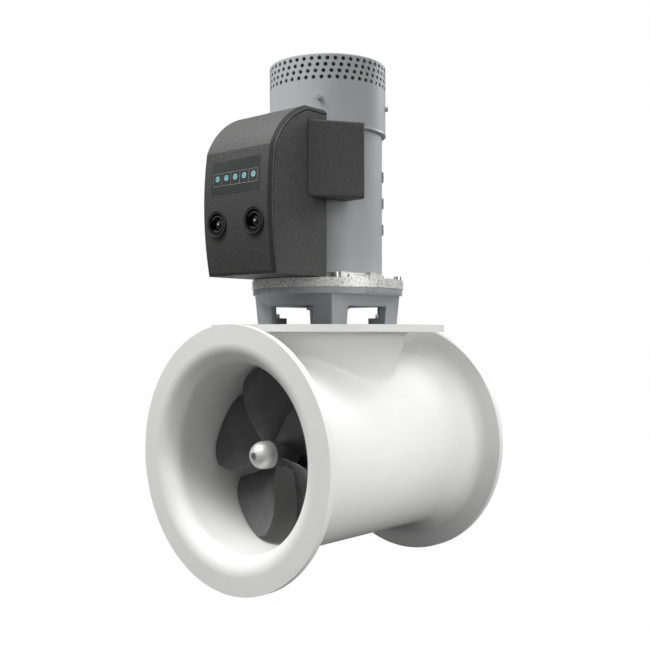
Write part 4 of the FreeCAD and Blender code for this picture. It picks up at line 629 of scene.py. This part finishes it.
def facing(place: Vector, normal: Vector) -> Matrix:
    """Give the placement whose +Z is a normal and whose +Y is as upright as can be.

    Args:
        place: The origin.
        normal: The direction of +Z.

    Returns:
        The placement.
    """
    along = normal.normalized()
    across = UP.cross(along).normalized()
    up = along.cross(across)
    matrix = Matrix((across, up, along)).transposed().to_4x4()
    matrix.translation = place
    return matrix


# Geometry Nodes


class Repeater:
    """A Geometry Nodes tree that sets one small shape on many marked places."""

    def __init__(self, name: str) -> None:
        """Build the tree with named inputs.

        Args:
            name: The name of the piece that it makes.
        """
        self.name = name
        self.tree = bpy.data.node_groups.new(name + "_repeat", "GeometryNodeTree")
        face = self.tree.interface
        face.new_socket("Places", in_out="INPUT", socket_type="NodeSocketGeometry")
        self.sockets: dict[str, str] = {}
        for label, kind in (("Piece", "NodeSocketObject"), ("Scale", "NodeSocketFloat"),
                            ("Finish", "NodeSocketMaterial")):
            socket = face.new_socket(label, in_out="INPUT", socket_type=kind)
            self.sockets[label] = socket.identifier
        face.new_socket("Pieces", in_out="OUTPUT", socket_type="NodeSocketGeometry")
        self._build()

    def _build(self) -> None:
        """Join the nodes: points, turned instances, realized and painted."""
        start = add_node(self.tree, "NodeGroupInput")
        end = add_node(self.tree, "NodeGroupOutput")
        info = add_node(self.tree, "GeometryNodeObjectInfo")
        turn = add_node(self.tree, "GeometryNodeInputNamedAttribute", Name="turn")
        turn.data_type = "FLOAT_VECTOR"
        spread = add_node(self.tree, "GeometryNodeInstanceOnPoints")
        real = add_node(self.tree, "GeometryNodeRealizeInstances")
        paint = add_node(self.tree, "GeometryNodeSetMaterial")
        join(self.tree, (start, "Places", spread, "Points"), (start, "Piece", info, "Object"),
             (info, "Geometry", spread, "Instance"), (turn, "Attribute", spread, "Rotation"),
             (start, "Scale", spread, "Scale"), (spread, "Instances", real, "Geometry"),
             (real, "Geometry", paint, "Geometry"), (start, "Finish", paint, "Material"),
             (paint, "Geometry", end, "Pieces"))

    def place(self, seed: Shape, places: Sequence[Matrix], finish: Finish, slot: Slot,
              sharp_degrees: float = 30.0) -> None:
        """Set copies of a small shape on the places and add them as one piece.

        Args:
            seed: The small shape about its own origin, which is freed.
            places: One placement for each copy.
            finish: The finish of the copies.
            slot: Not used.
            sharp_degrees: Edges that bend by more than this stay sharp.
        """
        points = bpy.data.meshes.new(self.name + "_places")
        points.from_pydata([matrix.translation for matrix in places], [], [])
        turns = points.attributes.new("turn", "FLOAT_VECTOR", "POINT")
        for index, matrix in enumerate(places):
            turns.data[index].vector = matrix.to_euler("XYZ")
        host = bpy.data.objects.new(self.name + "_host", points)
        shape = clean_mesh(seed, self.name + "_model", sharp_degrees)
        model = bpy.data.objects.new(self.name + "_model", shape)
        for helper in (host, model):
            bpy.context.scene.collection.objects.link(helper)
        modifier = host.modifiers.new("repeat", "NODES")
        modifier.node_group = self.tree
        for label, value in (("Piece", model), ("Scale", 1.0), ("Finish", finish.material())):
            modifier[self.sockets[label]] = value
        bpy.context.view_layer.update()
        seen = host.evaluated_get(bpy.context.evaluated_depsgraph_get())
        mesh = bpy.data.meshes.new_from_object(seen)
        host.modifiers.remove(modifier)
        for helper in (host, model):
            bpy.data.objects.remove(helper)
        copies = bmesh.new()
        copies.from_mesh(mesh)
        bpy.data.meshes.remove(mesh)
        place_piece(self.name, copies, finish, sharp_degrees)


# Pieces


class SubAssembly(ABC):
    """One sub-assembly of the thruster: its CAD nodes and the trim that is added to them."""

    finishes: dict[str, Finish] = {}

    def build(self, nodes: Nodes) -> None:
        """Dress the CAD nodes and add the trim.

        Args:
            nodes: The frame's nodes by name.
        """
        for name, finish in self.finishes.items():
            node = nodes[name]
            if not node.material_slots:
                node.data.materials.append(finish.material())
            for slot in node.material_slots:
                slot.material = finish.material()
        self.trim(nodes)
        LOG.info("%s: %d CAD nodes dressed", type(self).__name__, len(self.finishes))

    def trim(self, nodes: Nodes) -> None:
        """Add the pieces that the CAD model leaves to the looks."""


class Skin:
    """Finds places on the front of a CAD node."""

    ray_start = -1.0

    def __init__(self, node: bpy.types.Object) -> None:
        """Read a node's mesh.

        Args:
            node: The node.
        """
        work = bmesh.new()
        work.from_mesh(node.data)
        self.tree = BVHTree.FromBMesh(work)
        work.free()

    def front(self, across: float, height: float) -> tuple[Vector, Vector]:
        """Find the foremost place at a distance across and a height.

        Args:
            across: The X coordinate.
            height: The Z coordinate.

        Returns:
            The place and its outward normal.
        """
        start = Vector((across, self.ray_start, height))
        place, normal, _, _ = self.tree.ray_cast(start, -FORWARD)
        return place, normal


@dataclass
class Tunnel(SubAssembly):
    """The moulded tunnel."""

    finishes = {"tunnel": WHITE_GELCOAT}


@dataclass
class GearLeg(SubAssembly):
    """The gear leg inside the tunnel and what turns in it."""

    finishes = {
        "gear_leg": CASE_BLACK, "front_case_cap": CASE_BLACK, "rear_case_cap": CASE_BLACK,
        "leg_gasket": GASKET_FIBRE, "leg_screws": STAINLESS, "case_cap_screws": STAINLESS,
        "prop_bearings": SHAFT_STEEL, "pinion_bearings": SHAFT_STEEL,
        "bearing_spacers": SHAFT_STEEL, "prop_seals": SEAL_RUBBER, "leg_top_seal": SEAL_RUBBER,
        "pinion_shaft": SHAFT_STEEL,
    }


class Screw(SubAssembly):
    """One propeller with its shaft, gear and anode."""

    def __init__(self, end: str) -> None:
        """Name the nodes of one end.

        Args:
            end: The end of the tunnel, front or rear.
        """
        self.finishes = {
            end + "_propeller": BLADE_BLACK, end + "_anode": ZINC,
            end + "_anode_screw": STAINLESS, end + "_crown_gear": SHAFT_STEEL,
            end + "_prop_shaft": SHAFT_STEEL, end + "_drive_pin": SHAFT_STEEL,
            end + "_lock_nut": SHAFT_STEEL,
        }


@dataclass
class Bracket(SubAssembly):
    """The motor bracket, the adapter plate and the coupling between them."""

    boss_radii: Pair = (30 * MM, 46 * MM)
    boss_heights: Pair = (242 * MM, 247 * MM)
    boss_steps: int = 48
    nut_circle: float = 42 * MM
    nut_radius: float = 5 * MM
    nut_height: float = 5 * MM
    nut_sides: int = 6
    nut_count: int = 4
    first_nut: float = 2.0
    nut_sharp: float = 20.0
    pad_radii: Pair = (94.5 * MM, 101 * MM)
    pad_low: float = 286.2 * MM
    pad_spans: tuple[Point, ...] = (
        (-36.0, -29.5, 297 * MM), (-28.0, -5.5, 293 * MM), (-4.5, 4.2, 297 * MM))
    pad_rounds: int = 4
    foot_half: float = 86.5 * MM
    head_half: float = 90 * MM
    foot_height: float = 210 * MM
    head_height: float = 261 * MM
    cast_corner: float = 14 * MM
    sharp_corner: float = 5 * MM
    corner_slack: float = 0.4 * MM
    window_top: float = 249 * MM
    window_slack: float = 0.3 * MM
    window_reach: float = 51 * MM
    window_drop: float = 7 * MM
    weld: float = 0.001 * MM
    skin_sharp: float = 28.0
    finishes = {
        "motor_bracket": BRACKET_GREY, "bracket_bolts": STAINLESS, "adapter_plate": RAW_CASTING,
        "plate_bolts": STAINLESS, "motor_coupling": COUPLING_METAL,
        "pinion_coupling": COUPLING_METAL, "coupling_spider": SPIDER_RED,
    }

    def crisp(self, place: Vector) -> Vector:
        """Move a place on the bracket's rounded corners out to a tighter round.

        Args:
            place: A corner point of the cast bracket.

        Returns:
            The same point on the tighter round, or the point itself elsewhere.
        """
        if not self.foot_height - HAIR < place.z < self.head_height + HAIR:
            return place
        share = (place.z - self.foot_height) / (self.head_height - self.foot_height)
        half = self.foot_half + (self.head_half - self.foot_half) * share
        corner = Vector((1.0, 1.0))
        out = Vector((abs(place.x), abs(place.y))) - corner * (half - self.cast_corner)
        if min(out) < -HAIR or abs(out.length - self.cast_corner) > self.corner_slack:
            return place
        moved = corner * (half - self.sharp_corner) + out.normalized() * self.sharp_corner
        return Vector((math.copysign(moved.x, place.x), math.copysign(moved.y, place.y), place.z))

    def skin(self, node: bpy.types.Object) -> None:
        """Show the bracket with tighter corners and lower window heads.

        Args:
            node: The bracket's CAD node.
        """
        work = bmesh.new()
        work.from_mesh(node.data)
        bmesh.ops.remove_doubles(work, verts=work.verts, dist=self.weld)
        for corner in work.verts:
            corner.co = self.crisp(corner.co)
            beside = min(abs(corner.co.x), abs(corner.co.y)) < self.window_reach
            if abs(corner.co.z - self.window_top) < self.window_slack and beside:
                corner.co.z -= self.window_drop
        bmesh.ops.recalc_face_normals(work, faces=work.faces)
        piece = place_piece("bracket_skin", work, BRACKET_GREY, self.skin_sharp)
        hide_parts("motor_bracket")

    def boss(self) -> None:
        """Add the boss under the plate and the nuts on it."""
        (bore, radius), (low, high) = self.boss_radii, self.boss_heights
        ring = lathe([(bore, low), (radius, low), (radius, high), (bore, high)], UPRIGHT,
                     self.boss_steps)
        place_piece("plate_boss", ring, RAW_CASTING)
        seed = bmesh.new()
        bmesh.ops.create_cone(seed, cap_ends=True, segments=self.nut_sides,
                              radius1=self.nut_radius, radius2=self.nut_radius,
                              depth=self.nut_height)
        places = []
        for index in range(self.nut_count):
            angle = math.radians(self.first_nut) + math.tau * index / self.nut_count
            places.append(Matrix.Translation((
                self.nut_circle * math.cos(angle), self.nut_circle * math.sin(angle),
                low - self.nut_height / 2)))
        Repeater("boss_nuts").place(seed, places, STAINLESS, Slot.SCREWS, self.nut_sharp)

    def trim(self, nodes: Nodes) -> None:
        """Add the bracket's skin, the boss under the plate and the pads at the motor's foot."""
        self.skin(nodes["motor_bracket"])
        self.boss()
        pads = bmesh.new()
        for start, end, top in self.pad_spans:
            merge(pads, arc_block(self.pad_radii, (self.pad_low, top), (start, end)))
        turns = [Matrix.Rotation(math.tau * index / self.pad_rounds, 4, "Z")
                 for index in range(self.pad_rounds)]
        Repeater("foot_pads").place(pads, turns, RAW_CASTING, Slot.CASTING)


@dataclass
class Motor(SubAssembly):
    """The upright motor with its vented top."""

    skirt_profile: tuple[Pair, ...] = (
        (94.6 * MM, 533.5 * MM), (98.6 * MM, 533.5 * MM), (100.7 * MM, 535.2 * MM),
        (100.7 * MM, 536.8 * MM), (94.6 * MM, 536.8 * MM))
    skirt_steps: int = 96
    skirt_sharp: float = 25.0
    vent_face: float = 100.0 * MM
    vent_height: float = 644.7 * MM
    vent_pitch: float = 10.2 * MM
    vent_rows: int = 4
    vent_count: int = 48
    vent_first_turn: float = -56.0
    vent_row_turn: float = -1.875
    vent_edge: Pair = (2.7 * MM, 3.7 * MM)
    vent_edge_lift: float = 0.12 * MM
    vent_edge_slope: float = 0.3
    vent_edge_steps: int = 14
    finishes = {
        "lower_end_shield": RAW_CASTING, "motor_yoke": MOTOR_GREY, "pole_screws": MOTOR_GREY,
        "upper_end_shield": RAW_CASTING, "vent_cover": MOTOR_GREY, "band_screws": BRIGHT_STEEL,
        "pole_shoes": CORE_STEEL, "field_coils": WINDING, "motor_bearings": SHAFT_STEEL,
        "brushes": CARBON, "brush_holders": BRASS, "motor_terminals": BRIGHT_STEEL,
        "motor_shaft": SHAFT_STEEL, "armature_core": CORE_STEEL, "armature_winding": WINDING,
        "commutator": COPPER,
    }

    def trim(self, nodes: Nodes) -> None:
        """Add the vent cover's lower ring in painted highlight and the painted shade round its
        holes.
        """
        ring = lathe(self.skirt_profile, UPRIGHT, self.skirt_steps)
        # The ring is real; its lighter paint is a painted highlight.
        place_piece("vent_skirt_ring", ring, SKIRT_HIGHLIGHT, self.skirt_sharp)
        inner, outer = self.vent_edge
        lift = self.vent_edge_lift
        seed = lathe([(inner, -lift), (outer, -lift), (outer, lift * self.vent_edge_slope),
                      (inner, lift)], UPRIGHT, self.vent_edge_steps)
        places = []
        for row in range(self.vent_rows):
            for index in range(self.vent_count):
                turn = self.vent_first_turn + row * self.vent_row_turn
                angle = math.radians(turn) + math.tau * index / self.vent_count
                out = Vector((math.cos(angle), math.sin(angle), 0.0))
                place = out * self.vent_face + UP * (self.vent_height - row * self.vent_pitch)
                places.append(facing(place, out))
        # Rings of painted shade round the vent holes.
        Repeater("vent_edges").place(seed, places, HOLE_SHADE, Slot.MOTOR)


@dataclass
class ControlBox(SubAssembly):
    """The control box on the motor's side, with its label, sockets and side hood."""

    half_width: float = 77 * MM
    edge: float = 5 * MM
    bottom: float = 287.5 * MM
    bow_radius: float = 570 * MM
    bow_centre: float = 400 * MM
    foremost: float = -218 * MM
    bend: float = 484 * MM
    front_steps: int = 18
    hood_radius: float = 123 * MM
    hood_steps: int = 12
    ridge: Pair = (-135 * MM, 555 * MM)
    top_end: float = -89 * MM
    bead_radius: float = 0.9 * MM
    bead_steps: int = 8
    groove_width: float = 1.6 * MM
    edge_sharp: float = 40.0
    lift: float = 0.2 * MM
    lip_height: float = 4.5 * MM
    line_sharp: float = 50.0
    hood_joint: float = -133 * MM
    hood_heights: Pair = (412 * MM, 534 * MM)
    socket_across: float = 42 * MM
    socket_height: float = 369.5 * MM
    socket_front: float = -218.6 * MM
    rim_profile: tuple[Pair, ...] = (
        (20.4 * MM, 0.0), (21.7 * MM, 0.0), (21.7 * MM, 0.5 * MM), (20.8 * MM, 0.7 * MM))
    rim_steps: int = 48
    wall_radii: Pair = (11.4 * MM, 13.4 * MM)
    wall_heights: Pair = (-9 * MM, -1.5 * MM)
    wall_turn: Pair = (-130.0, 150.0)
    sleeve_profile: tuple[Pair, ...] = (
        (1.7 * MM, -0.9 * MM), (5.2 * MM, -0.9 * MM), (5.2 * MM, -0.2 * MM),
        (4.7 * MM, 0.3 * MM), (1.7 * MM, 0.3 * MM))
    sleeve_steps: int = 32
    sleeve_front: float = -214.6 * MM
    tip_radii: Pair = (1.7 * MM, 1.36 * MM)
    tip_length: float = 1.4 * MM
    tip_steps: int = 20
    indicator_pitch: float = 20.4 * MM
    indicator_height: float = 440.5 * MM
    indicator_radius: float = 4.5 * MM
    indicator_count: int = 5
    indicator_steps: int = 28
    ring_share: float = 0.62
    dot_share: float = 0.34
    dot_steps: int = 16
    row: Pair = (429 * MM, 449 * MM)
    row_half_width: float = 50 * MM
    line: float = 0.5 * MM
    finishes = {
        "control_box_cover": COVER_PLASTIC, "side_hood": COVER_PLASTIC,
        "label_plate": LABEL_FILM, "control_box_back": INNER_PLASTIC,
        "cover_screws": STAINLESS, "power_sockets": SOCKET_BLACK, "terminal_studs": STUD_STEEL,
        "contactors": INNER_PLASTIC, "busbars": BRASS, "control_board": BOARD_GREEN,
    }

    def profile(self) -> list[Vector]:
        """Follow the cover's outline from its bottom over the hood to the back.

        Returns:
            Points in the X = 0 plane.
        """
        points = []
        for step in range(self.front_steps + 1):
            height = self.bottom + (self.bend - self.bottom) * step / self.front_steps
            sag = math.sqrt(self.bow_radius ** 2 - (height - self.bow_centre) ** 2)
            points.append(Vector((0.0, self.foremost + self.bow_radius - sag, height)))
        start = points[-1]
        end = Vector((0.0, *self.ridge))
        half = (end - start) / 2
        inward = Vector((0.0, half.z, -half.y)).normalized()
        centre = start + half + inward * math.sqrt(self.hood_radius ** 2 - half.length_squared)
        first = math.atan2(start.z - centre.z, start.y - centre.y)
        last = math.atan2(end.z - centre.z, end.y - centre.y)
        for step in range(1, self.hood_steps + 1):
            angle = first + (last - first) * step / self.hood_steps
            points.append(centre + Vector((0.0, math.cos(angle), math.sin(angle)))
                          * self.hood_radius)
        points.append(Vector((0.0, self.top_end, self.ridge[1])))
        return points

    def edge_trim(self, side: Side) -> None:
        """Add the band and groove line of painted shade and the painted-highlight bead along one
        edge.

        Args:
            side: The edge's side.
        """
        points = self.profile()
        sideways = Vector((side.value, 0.0, 0.0))
        wall = sideways * self.half_width

        def inward(index: int) -> Vector:
            """Give the outline's inward direction at one of its points."""
            before = points[max(index - 1, 0)]
            after = points[min(index + 1, len(points) - 1)]
            along = (after - before).normalized()
            return Vector((0.0, along.z, -along.y))

        def band(index: int) -> list[Vector]:
            """Cover the bevel with a thin band of painted shade."""
            front = points[index] + wall - sideways * self.edge
            back = points[index] + wall + inward(index) * self.edge
            out = (sideways - inward(index)).normalized() * self.lift
            return [front + out, back + out, back - out, front - out]

        def bead(index: int) -> list[Vector]:
            """Lay a round bead beside the band, lighter as a painted highlight."""
            middle = points[index] + wall + inward(index) * (self.edge + self.bead_radius)
            turns = [math.tau * corner / self.bead_steps for corner in range(self.bead_steps)]
            return [middle + (inward(index) * math.cos(turn) + sideways * math.sin(turn))
                    * self.bead_radius for turn in turns]

        def groove(index: int) -> list[Vector]:
            """Lay a line of painted shade behind the bead."""
            start = points[index] + wall + inward(index) * (self.edge + 2 * self.bead_radius)
            end = start + inward(index) * self.groove_width
            out = sideways * self.lift
            return [start + out, end + out, end - out, start - out]

        # The band and the groove line are painted shade; the bead's lighter colour is a painted
        # highlight.
        for kind, section, finish in (("edge_band", band, COVER_SHADE),
                                      ("edge_bead", bead, COVER_HIGHLIGHT),
                                      ("edge_groove", groove, SHADOW_BLACK)):
            place_piece(kind + "_" + side.name.lower(), swept(len(points), section), finish,
                        self.edge_sharp)

    def flat_line(self, name: str, ends: Sequence[Vector], width: Vector, out: Vector,
                  finish: Finish) -> None:
        """Add a thin straight band on the cover.

        Args:
            name: The piece's name.
            ends: Its two ends along one edge.
            width: From that edge to the other one.
            out: How far it stands out of the cover, and lies in it.
            finish: Its finish.
        """
        def section(index: int) -> list[Vector]:
            """Give the band's section at one end."""
            place = ends[index]
            return [place + out, place + width + out, place + width - out, place - out]

        place_piece(name, swept(len(ends), section), finish, self.line_sharp)

    def lines(self) -> None:
        """Add a painted-shade band at the cover's lower edge and a painted shadow line by the
        hood.
        """
        low, high = self.profile()[:2]
        span = Vector((self.half_width - self.edge, 0.0, 0.0))
        # Painted shade: a dark band for the shade of the cover's rounded lower edge.
        self.flat_line("bottom_lip", [low - span, low + span],
                       (high - low).normalized() * self.lip_height, FORWARD * self.lift,
                       COVER_SHADE)
        # Painted shadow: a black strip where the hood meets the cover's side.
        joint = Vector((self.half_width, self.hood_joint, 0.0))
        self.flat_line("hood_gap", [joint + UP * height for height in self.hood_heights],
                       FORWARD * self.groove_width, Vector((self.lift, 0.0, 0.0)), SHADOW_BLACK)

    def sockets(self) -> None:
        """Add both sockets' rim edges, inner walls, sleeves, and stud tips painted light as a
        highlight.
        """
        finishes = {"socket_rims": SOCKET_EDGE, "socket_walls": SOCKET_EDGE,
                    "socket_sleeves": SOCKET_BLACK, "stud_tips": STUD_TIP_HIGHLIGHT}
        shapes = {name: bmesh.new() for name in finishes}
        for side in Side:
            across = side.value * self.socket_across
            front, end = (facing(Vector((across, depth, self.socket_height)), FORWARD)
                          for depth in (self.socket_front, self.sleeve_front))
            merge(shapes["socket_rims"], lathe(self.rim_profile, front, self.rim_steps))
            wall = arc_block(self.wall_radii, self.wall_heights, self.wall_turn)
            bmesh.ops.transform(wall, matrix=front, verts=wall.verts)
            merge(shapes["socket_walls"], wall)
            merge(shapes["socket_sleeves"], lathe(self.sleeve_profile, end, self.sleeve_steps))
            # The stud tips' light paint is a painted highlight.
            bmesh.ops.create_cone(shapes["stud_tips"], cap_ends=True, segments=self.tip_steps,
                                  radius1=self.tip_radii[0], radius2=self.tip_radii[1],
                                  depth=self.tip_length, matrix=end)
        for name, finish in finishes.items():
            place_piece(name, shapes[name], finish)

    def indicators(self, skin: Skin) -> None:
        """Print the row of plain round indicators.

        Args:
            skin: The label's front.
        """
        radius = self.indicator_radius
        inner = radius * self.ring_share
        dot = radius * self.dot_share
        seed = lathe([(inner, 0.0), (radius, 0.0), (radius, self.lift), (inner, self.lift)],
                     UPRIGHT, self.indicator_steps)
        bmesh.ops.create_cone(seed, cap_ends=True, segments=self.dot_steps, radius1=dot,
                              radius2=dot, depth=self.lift,
                              matrix=Matrix.Translation((0.0, 0.0, self.lift / 2)))
        places = []
        for index in range(self.indicator_count):
            across = (index - (self.indicator_count - 1) / 2) * self.indicator_pitch
            place, normal = skin.front(across, self.indicator_height)
            places.append(facing(place, normal))
        Repeater("indicators").place(seed, places, LABEL_CYAN, Slot.LABEL)

    def frames(self, skin: Skin) -> None:
        """Print the fine frame round each indicator.

        Args:
            skin: The label's front.
        """
        lines = bmesh.new()
        low, high = self.row
        edge = self.row_half_width
        uprights = [self.indicator_pitch * (index - self.indicator_count / 2)
                    for index in range(1, self.indicator_count)]
        for across in (-edge, *uprights, edge):
            merge(lines, self.strip(skin, [(across, low), (across, (low + high) / 2),
                                           (across, high)], Vector((1.0, 0.0, 0.0))))
        for height in (low, high):
            merge(lines, self.strip(skin, [(-edge, height), (edge, height)], UP))
        place_piece("label_lines", lines, LABEL_LINE)

    def strip(self, skin: Skin, places: Sequence[Pair], broad: Vector) -> Shape:
        """Make one fine printed line on the label.

        Args:
            skin: The label's front.
            places: Distances across and heights along the line.
            broad: The direction of its width.

        Returns:
            The line as a bmesh.
        """
        found = [skin.front(across, height) for across, height in places]
        side = broad * self.line / 2

        def section(index: int) -> list[Vector]:
            """Give the line's flat section."""
            place, normal = found[index]
            top = place + normal * self.lift / 2
            return [top + side, top - side, place - side, place + side]

        return swept(len(found), section)

    def trim(self, nodes: Nodes) -> None:
        """Add the edges and the lip with their painted shade and highlight, the socket trim and
        the label's print.
        """
        self.edge_trim(Side.RIGHT)
        self.edge_trim(Side.LEFT)
        self.lines()
        self.sockets()
        label = Skin(nodes["label_plate"])
        self.indicators(label)
        self.frames(label)


@dataclass(frozen=True)
class Lamp:
    """One square soft lamp, with its power in watts and its spread in degrees."""

    name: str
    place: Point
    target: Point
    size: float
    watts: float
    spread: float = 180.0

    def build(self) -> None:
        """Add the lamp to the scene."""
        data = bpy.data.lights.new(self.name, "AREA")
        data.size = self.size
        data.energy = self.watts
        data.spread = math.radians(self.spread)
        lamp = bpy.data.objects.new(self.name, data)
        lamp.location = self.place
        aim = Vector(self.target) - Vector(self.place)
        lamp.rotation_euler = aim.to_track_quat("-Z", "Y").to_euler()
        bpy.context.scene.collection.objects.link(lamp)


@dataclass
class Studio:
    """Camera, lamps, floor and background."""

    azimuth: float = 41.84
    distance: float = 1.6161
    sideways: float = -0.0045
    height: float = 0.1953
    focal_pixels: float = 932.4
    horizon_pixel: float = 333.76
    image_size: float = 650.0
    sensor: float = 36.0
    near_clip: float = 0.05
    horizon_light: float = 0.2
    top_light: float = 0.75
    top_rise: float = 0.9
    floor_height: float = -0.2102
    floor_half: float = 30.0
    floor_glow: float = 0.985
    floor_bounce: float = 0.12
    floor_tint: float = 0.8
    lamps: tuple[Lamp, ...] = (
        Lamp("key_lamp", (-0.6, -1.45, 2.8), (0.0, 0.0, 0.15), 1.3, 108.0),
        Lamp("tube_lamp", (2.5, -0.2, 0.25), (0.1, 0.0, -0.1), 0.6, 0.9, 26.0),
        Lamp("side_lamp", (2.6, 0.3, 1.5), (0.0, 0.0, 0.4), 1.2, 14.0),
        Lamp("rear_lamp", (0.6, 2.4, 1.8), (0.0, 0.0, 0.2), 1.8, 34.0),
    )

    def camera(self) -> None:
        """Set the camera at the photograph's viewing angle."""
        angle = math.radians(self.azimuth)
        forward = Vector((-math.sin(angle), math.cos(angle), 0.0))
        right = Vector((math.cos(angle), math.sin(angle), 0.0))
        data = bpy.data.cameras.new("camera")
        data.sensor_width = self.sensor
        data.lens = self.focal_pixels / self.image_size * self.sensor
        data.shift_y = (self.horizon_pixel - self.image_size / 2) / self.image_size
        data.clip_start = self.near_clip
        camera = bpy.data.objects.new("camera", data)
        turn = Matrix((right, UP, -forward)).transposed()
        place = right * self.sideways - forward * self.distance + UP * self.height
        camera.matrix_world = Matrix.Translation(place) @ turn.to_4x4()
        bpy.context.scene.collection.objects.link(camera)
        bpy.context.scene.camera = camera

    def world(self) -> None:
        """Light the scene from all round, more from above, and show white behind it."""
        world = bpy.data.worlds.new("studio")
        world.use_nodes = True
        tree = world.node_tree
        tree.nodes.clear()
        path = add_node(tree, "ShaderNodeLightPath")
        seen = add_node(tree, "ShaderNodeMath")
        seen.operation = "MAXIMUM"
        place = add_node(tree, "ShaderNodeTexCoord")
        split = add_node(tree, "ShaderNodeSeparateXYZ")
        rise = add_node(tree, "ShaderNodeMapRange", From_Min=0.0, From_Max=self.top_rise,
                        To_Min=self.horizon_light, To_Max=self.top_light)
        sky = add_node(tree, "ShaderNodeBackground", Color=WHITE)
        white = add_node(tree, "ShaderNodeBackground", Color=WHITE)
        join(tree, (path, "Is Camera Ray", seen, 0), (path, "Is Transmission Ray", seen, 1),
             (place, "Generated", split, "Vector"), (split, "Z", rise, "Value"),
             (rise, "Result", sky, "Strength"))
        mix_into(add_node(tree, "ShaderNodeOutputWorld"), seen, sky, white)
        bpy.context.scene.world = world

    def floor_material(self) -> bpy.types.Material:
        """Make the near-white floor, which throws only a little light back.

        Returns:
            The material.
        """
        material = bpy.data.materials.new("floor_white")
        material.use_nodes = True
        tree = material.node_tree
        tree.nodes.clear()
        path = add_node(tree, "ShaderNodeLightPath")
        share = add_node(tree, "ShaderNodeMath")
        share.operation = "MULTIPLY"
        share.inputs[1].default_value = self.floor_glow
        grey = add_node(tree, "ShaderNodeMapRange", To_Min=self.floor_bounce,
                        To_Max=self.floor_tint)
        diffuse = add_node(tree, "ShaderNodeBsdfDiffuse")
        light = add_node(tree, "ShaderNodeEmission", Color=WHITE)
        join(tree, (path, "Is Camera Ray", share, 0), (path, "Is Camera Ray", grey, "Value"),
             (grey, "Result", diffuse, "Color"))
        mix_into(add_node(tree, "ShaderNodeOutputMaterial"), share, diffuse, light)
        return material

    def floor(self) -> None:
        """Lay the pale floor that keeps a faint shadow."""
        mesh = bpy.data.meshes.new("floor")
        half = self.floor_half
        corners = [(-half, -half), (half, -half), (half, half), (-half, half)]
        mesh.from_pydata([(x, y, self.floor_height) for x, y in corners], [], [(0, 1, 2, 3)])
        mesh.materials.append(self.floor_material())
        floor = bpy.data.objects.new("floor", mesh)
        bpy.context.scene.collection.objects.link(floor)

    def build(self) -> None:
        """Set up the whole studio."""
        self.camera()
        self.world()
        self.floor()
        for lamp in self.lamps:
            lamp.build()
        bpy.context.scene.view_settings.view_transform = "Standard"
        LOG.info("studio ready")


def main() -> None:
    """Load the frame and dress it."""
    logging.basicConfig(level=logging.INFO, format="%(name)s %(message)s")
    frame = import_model()
    sub_assemblies = (Tunnel(), GearLeg(), Screw("front"), Screw("rear"), Bracket(), Motor(),
                      ControlBox())
    for sub_assembly in sub_assemblies:
        sub_assembly.build(frame["nodes"])
    Studio().build()


if __name__ == "__main__":
    main()
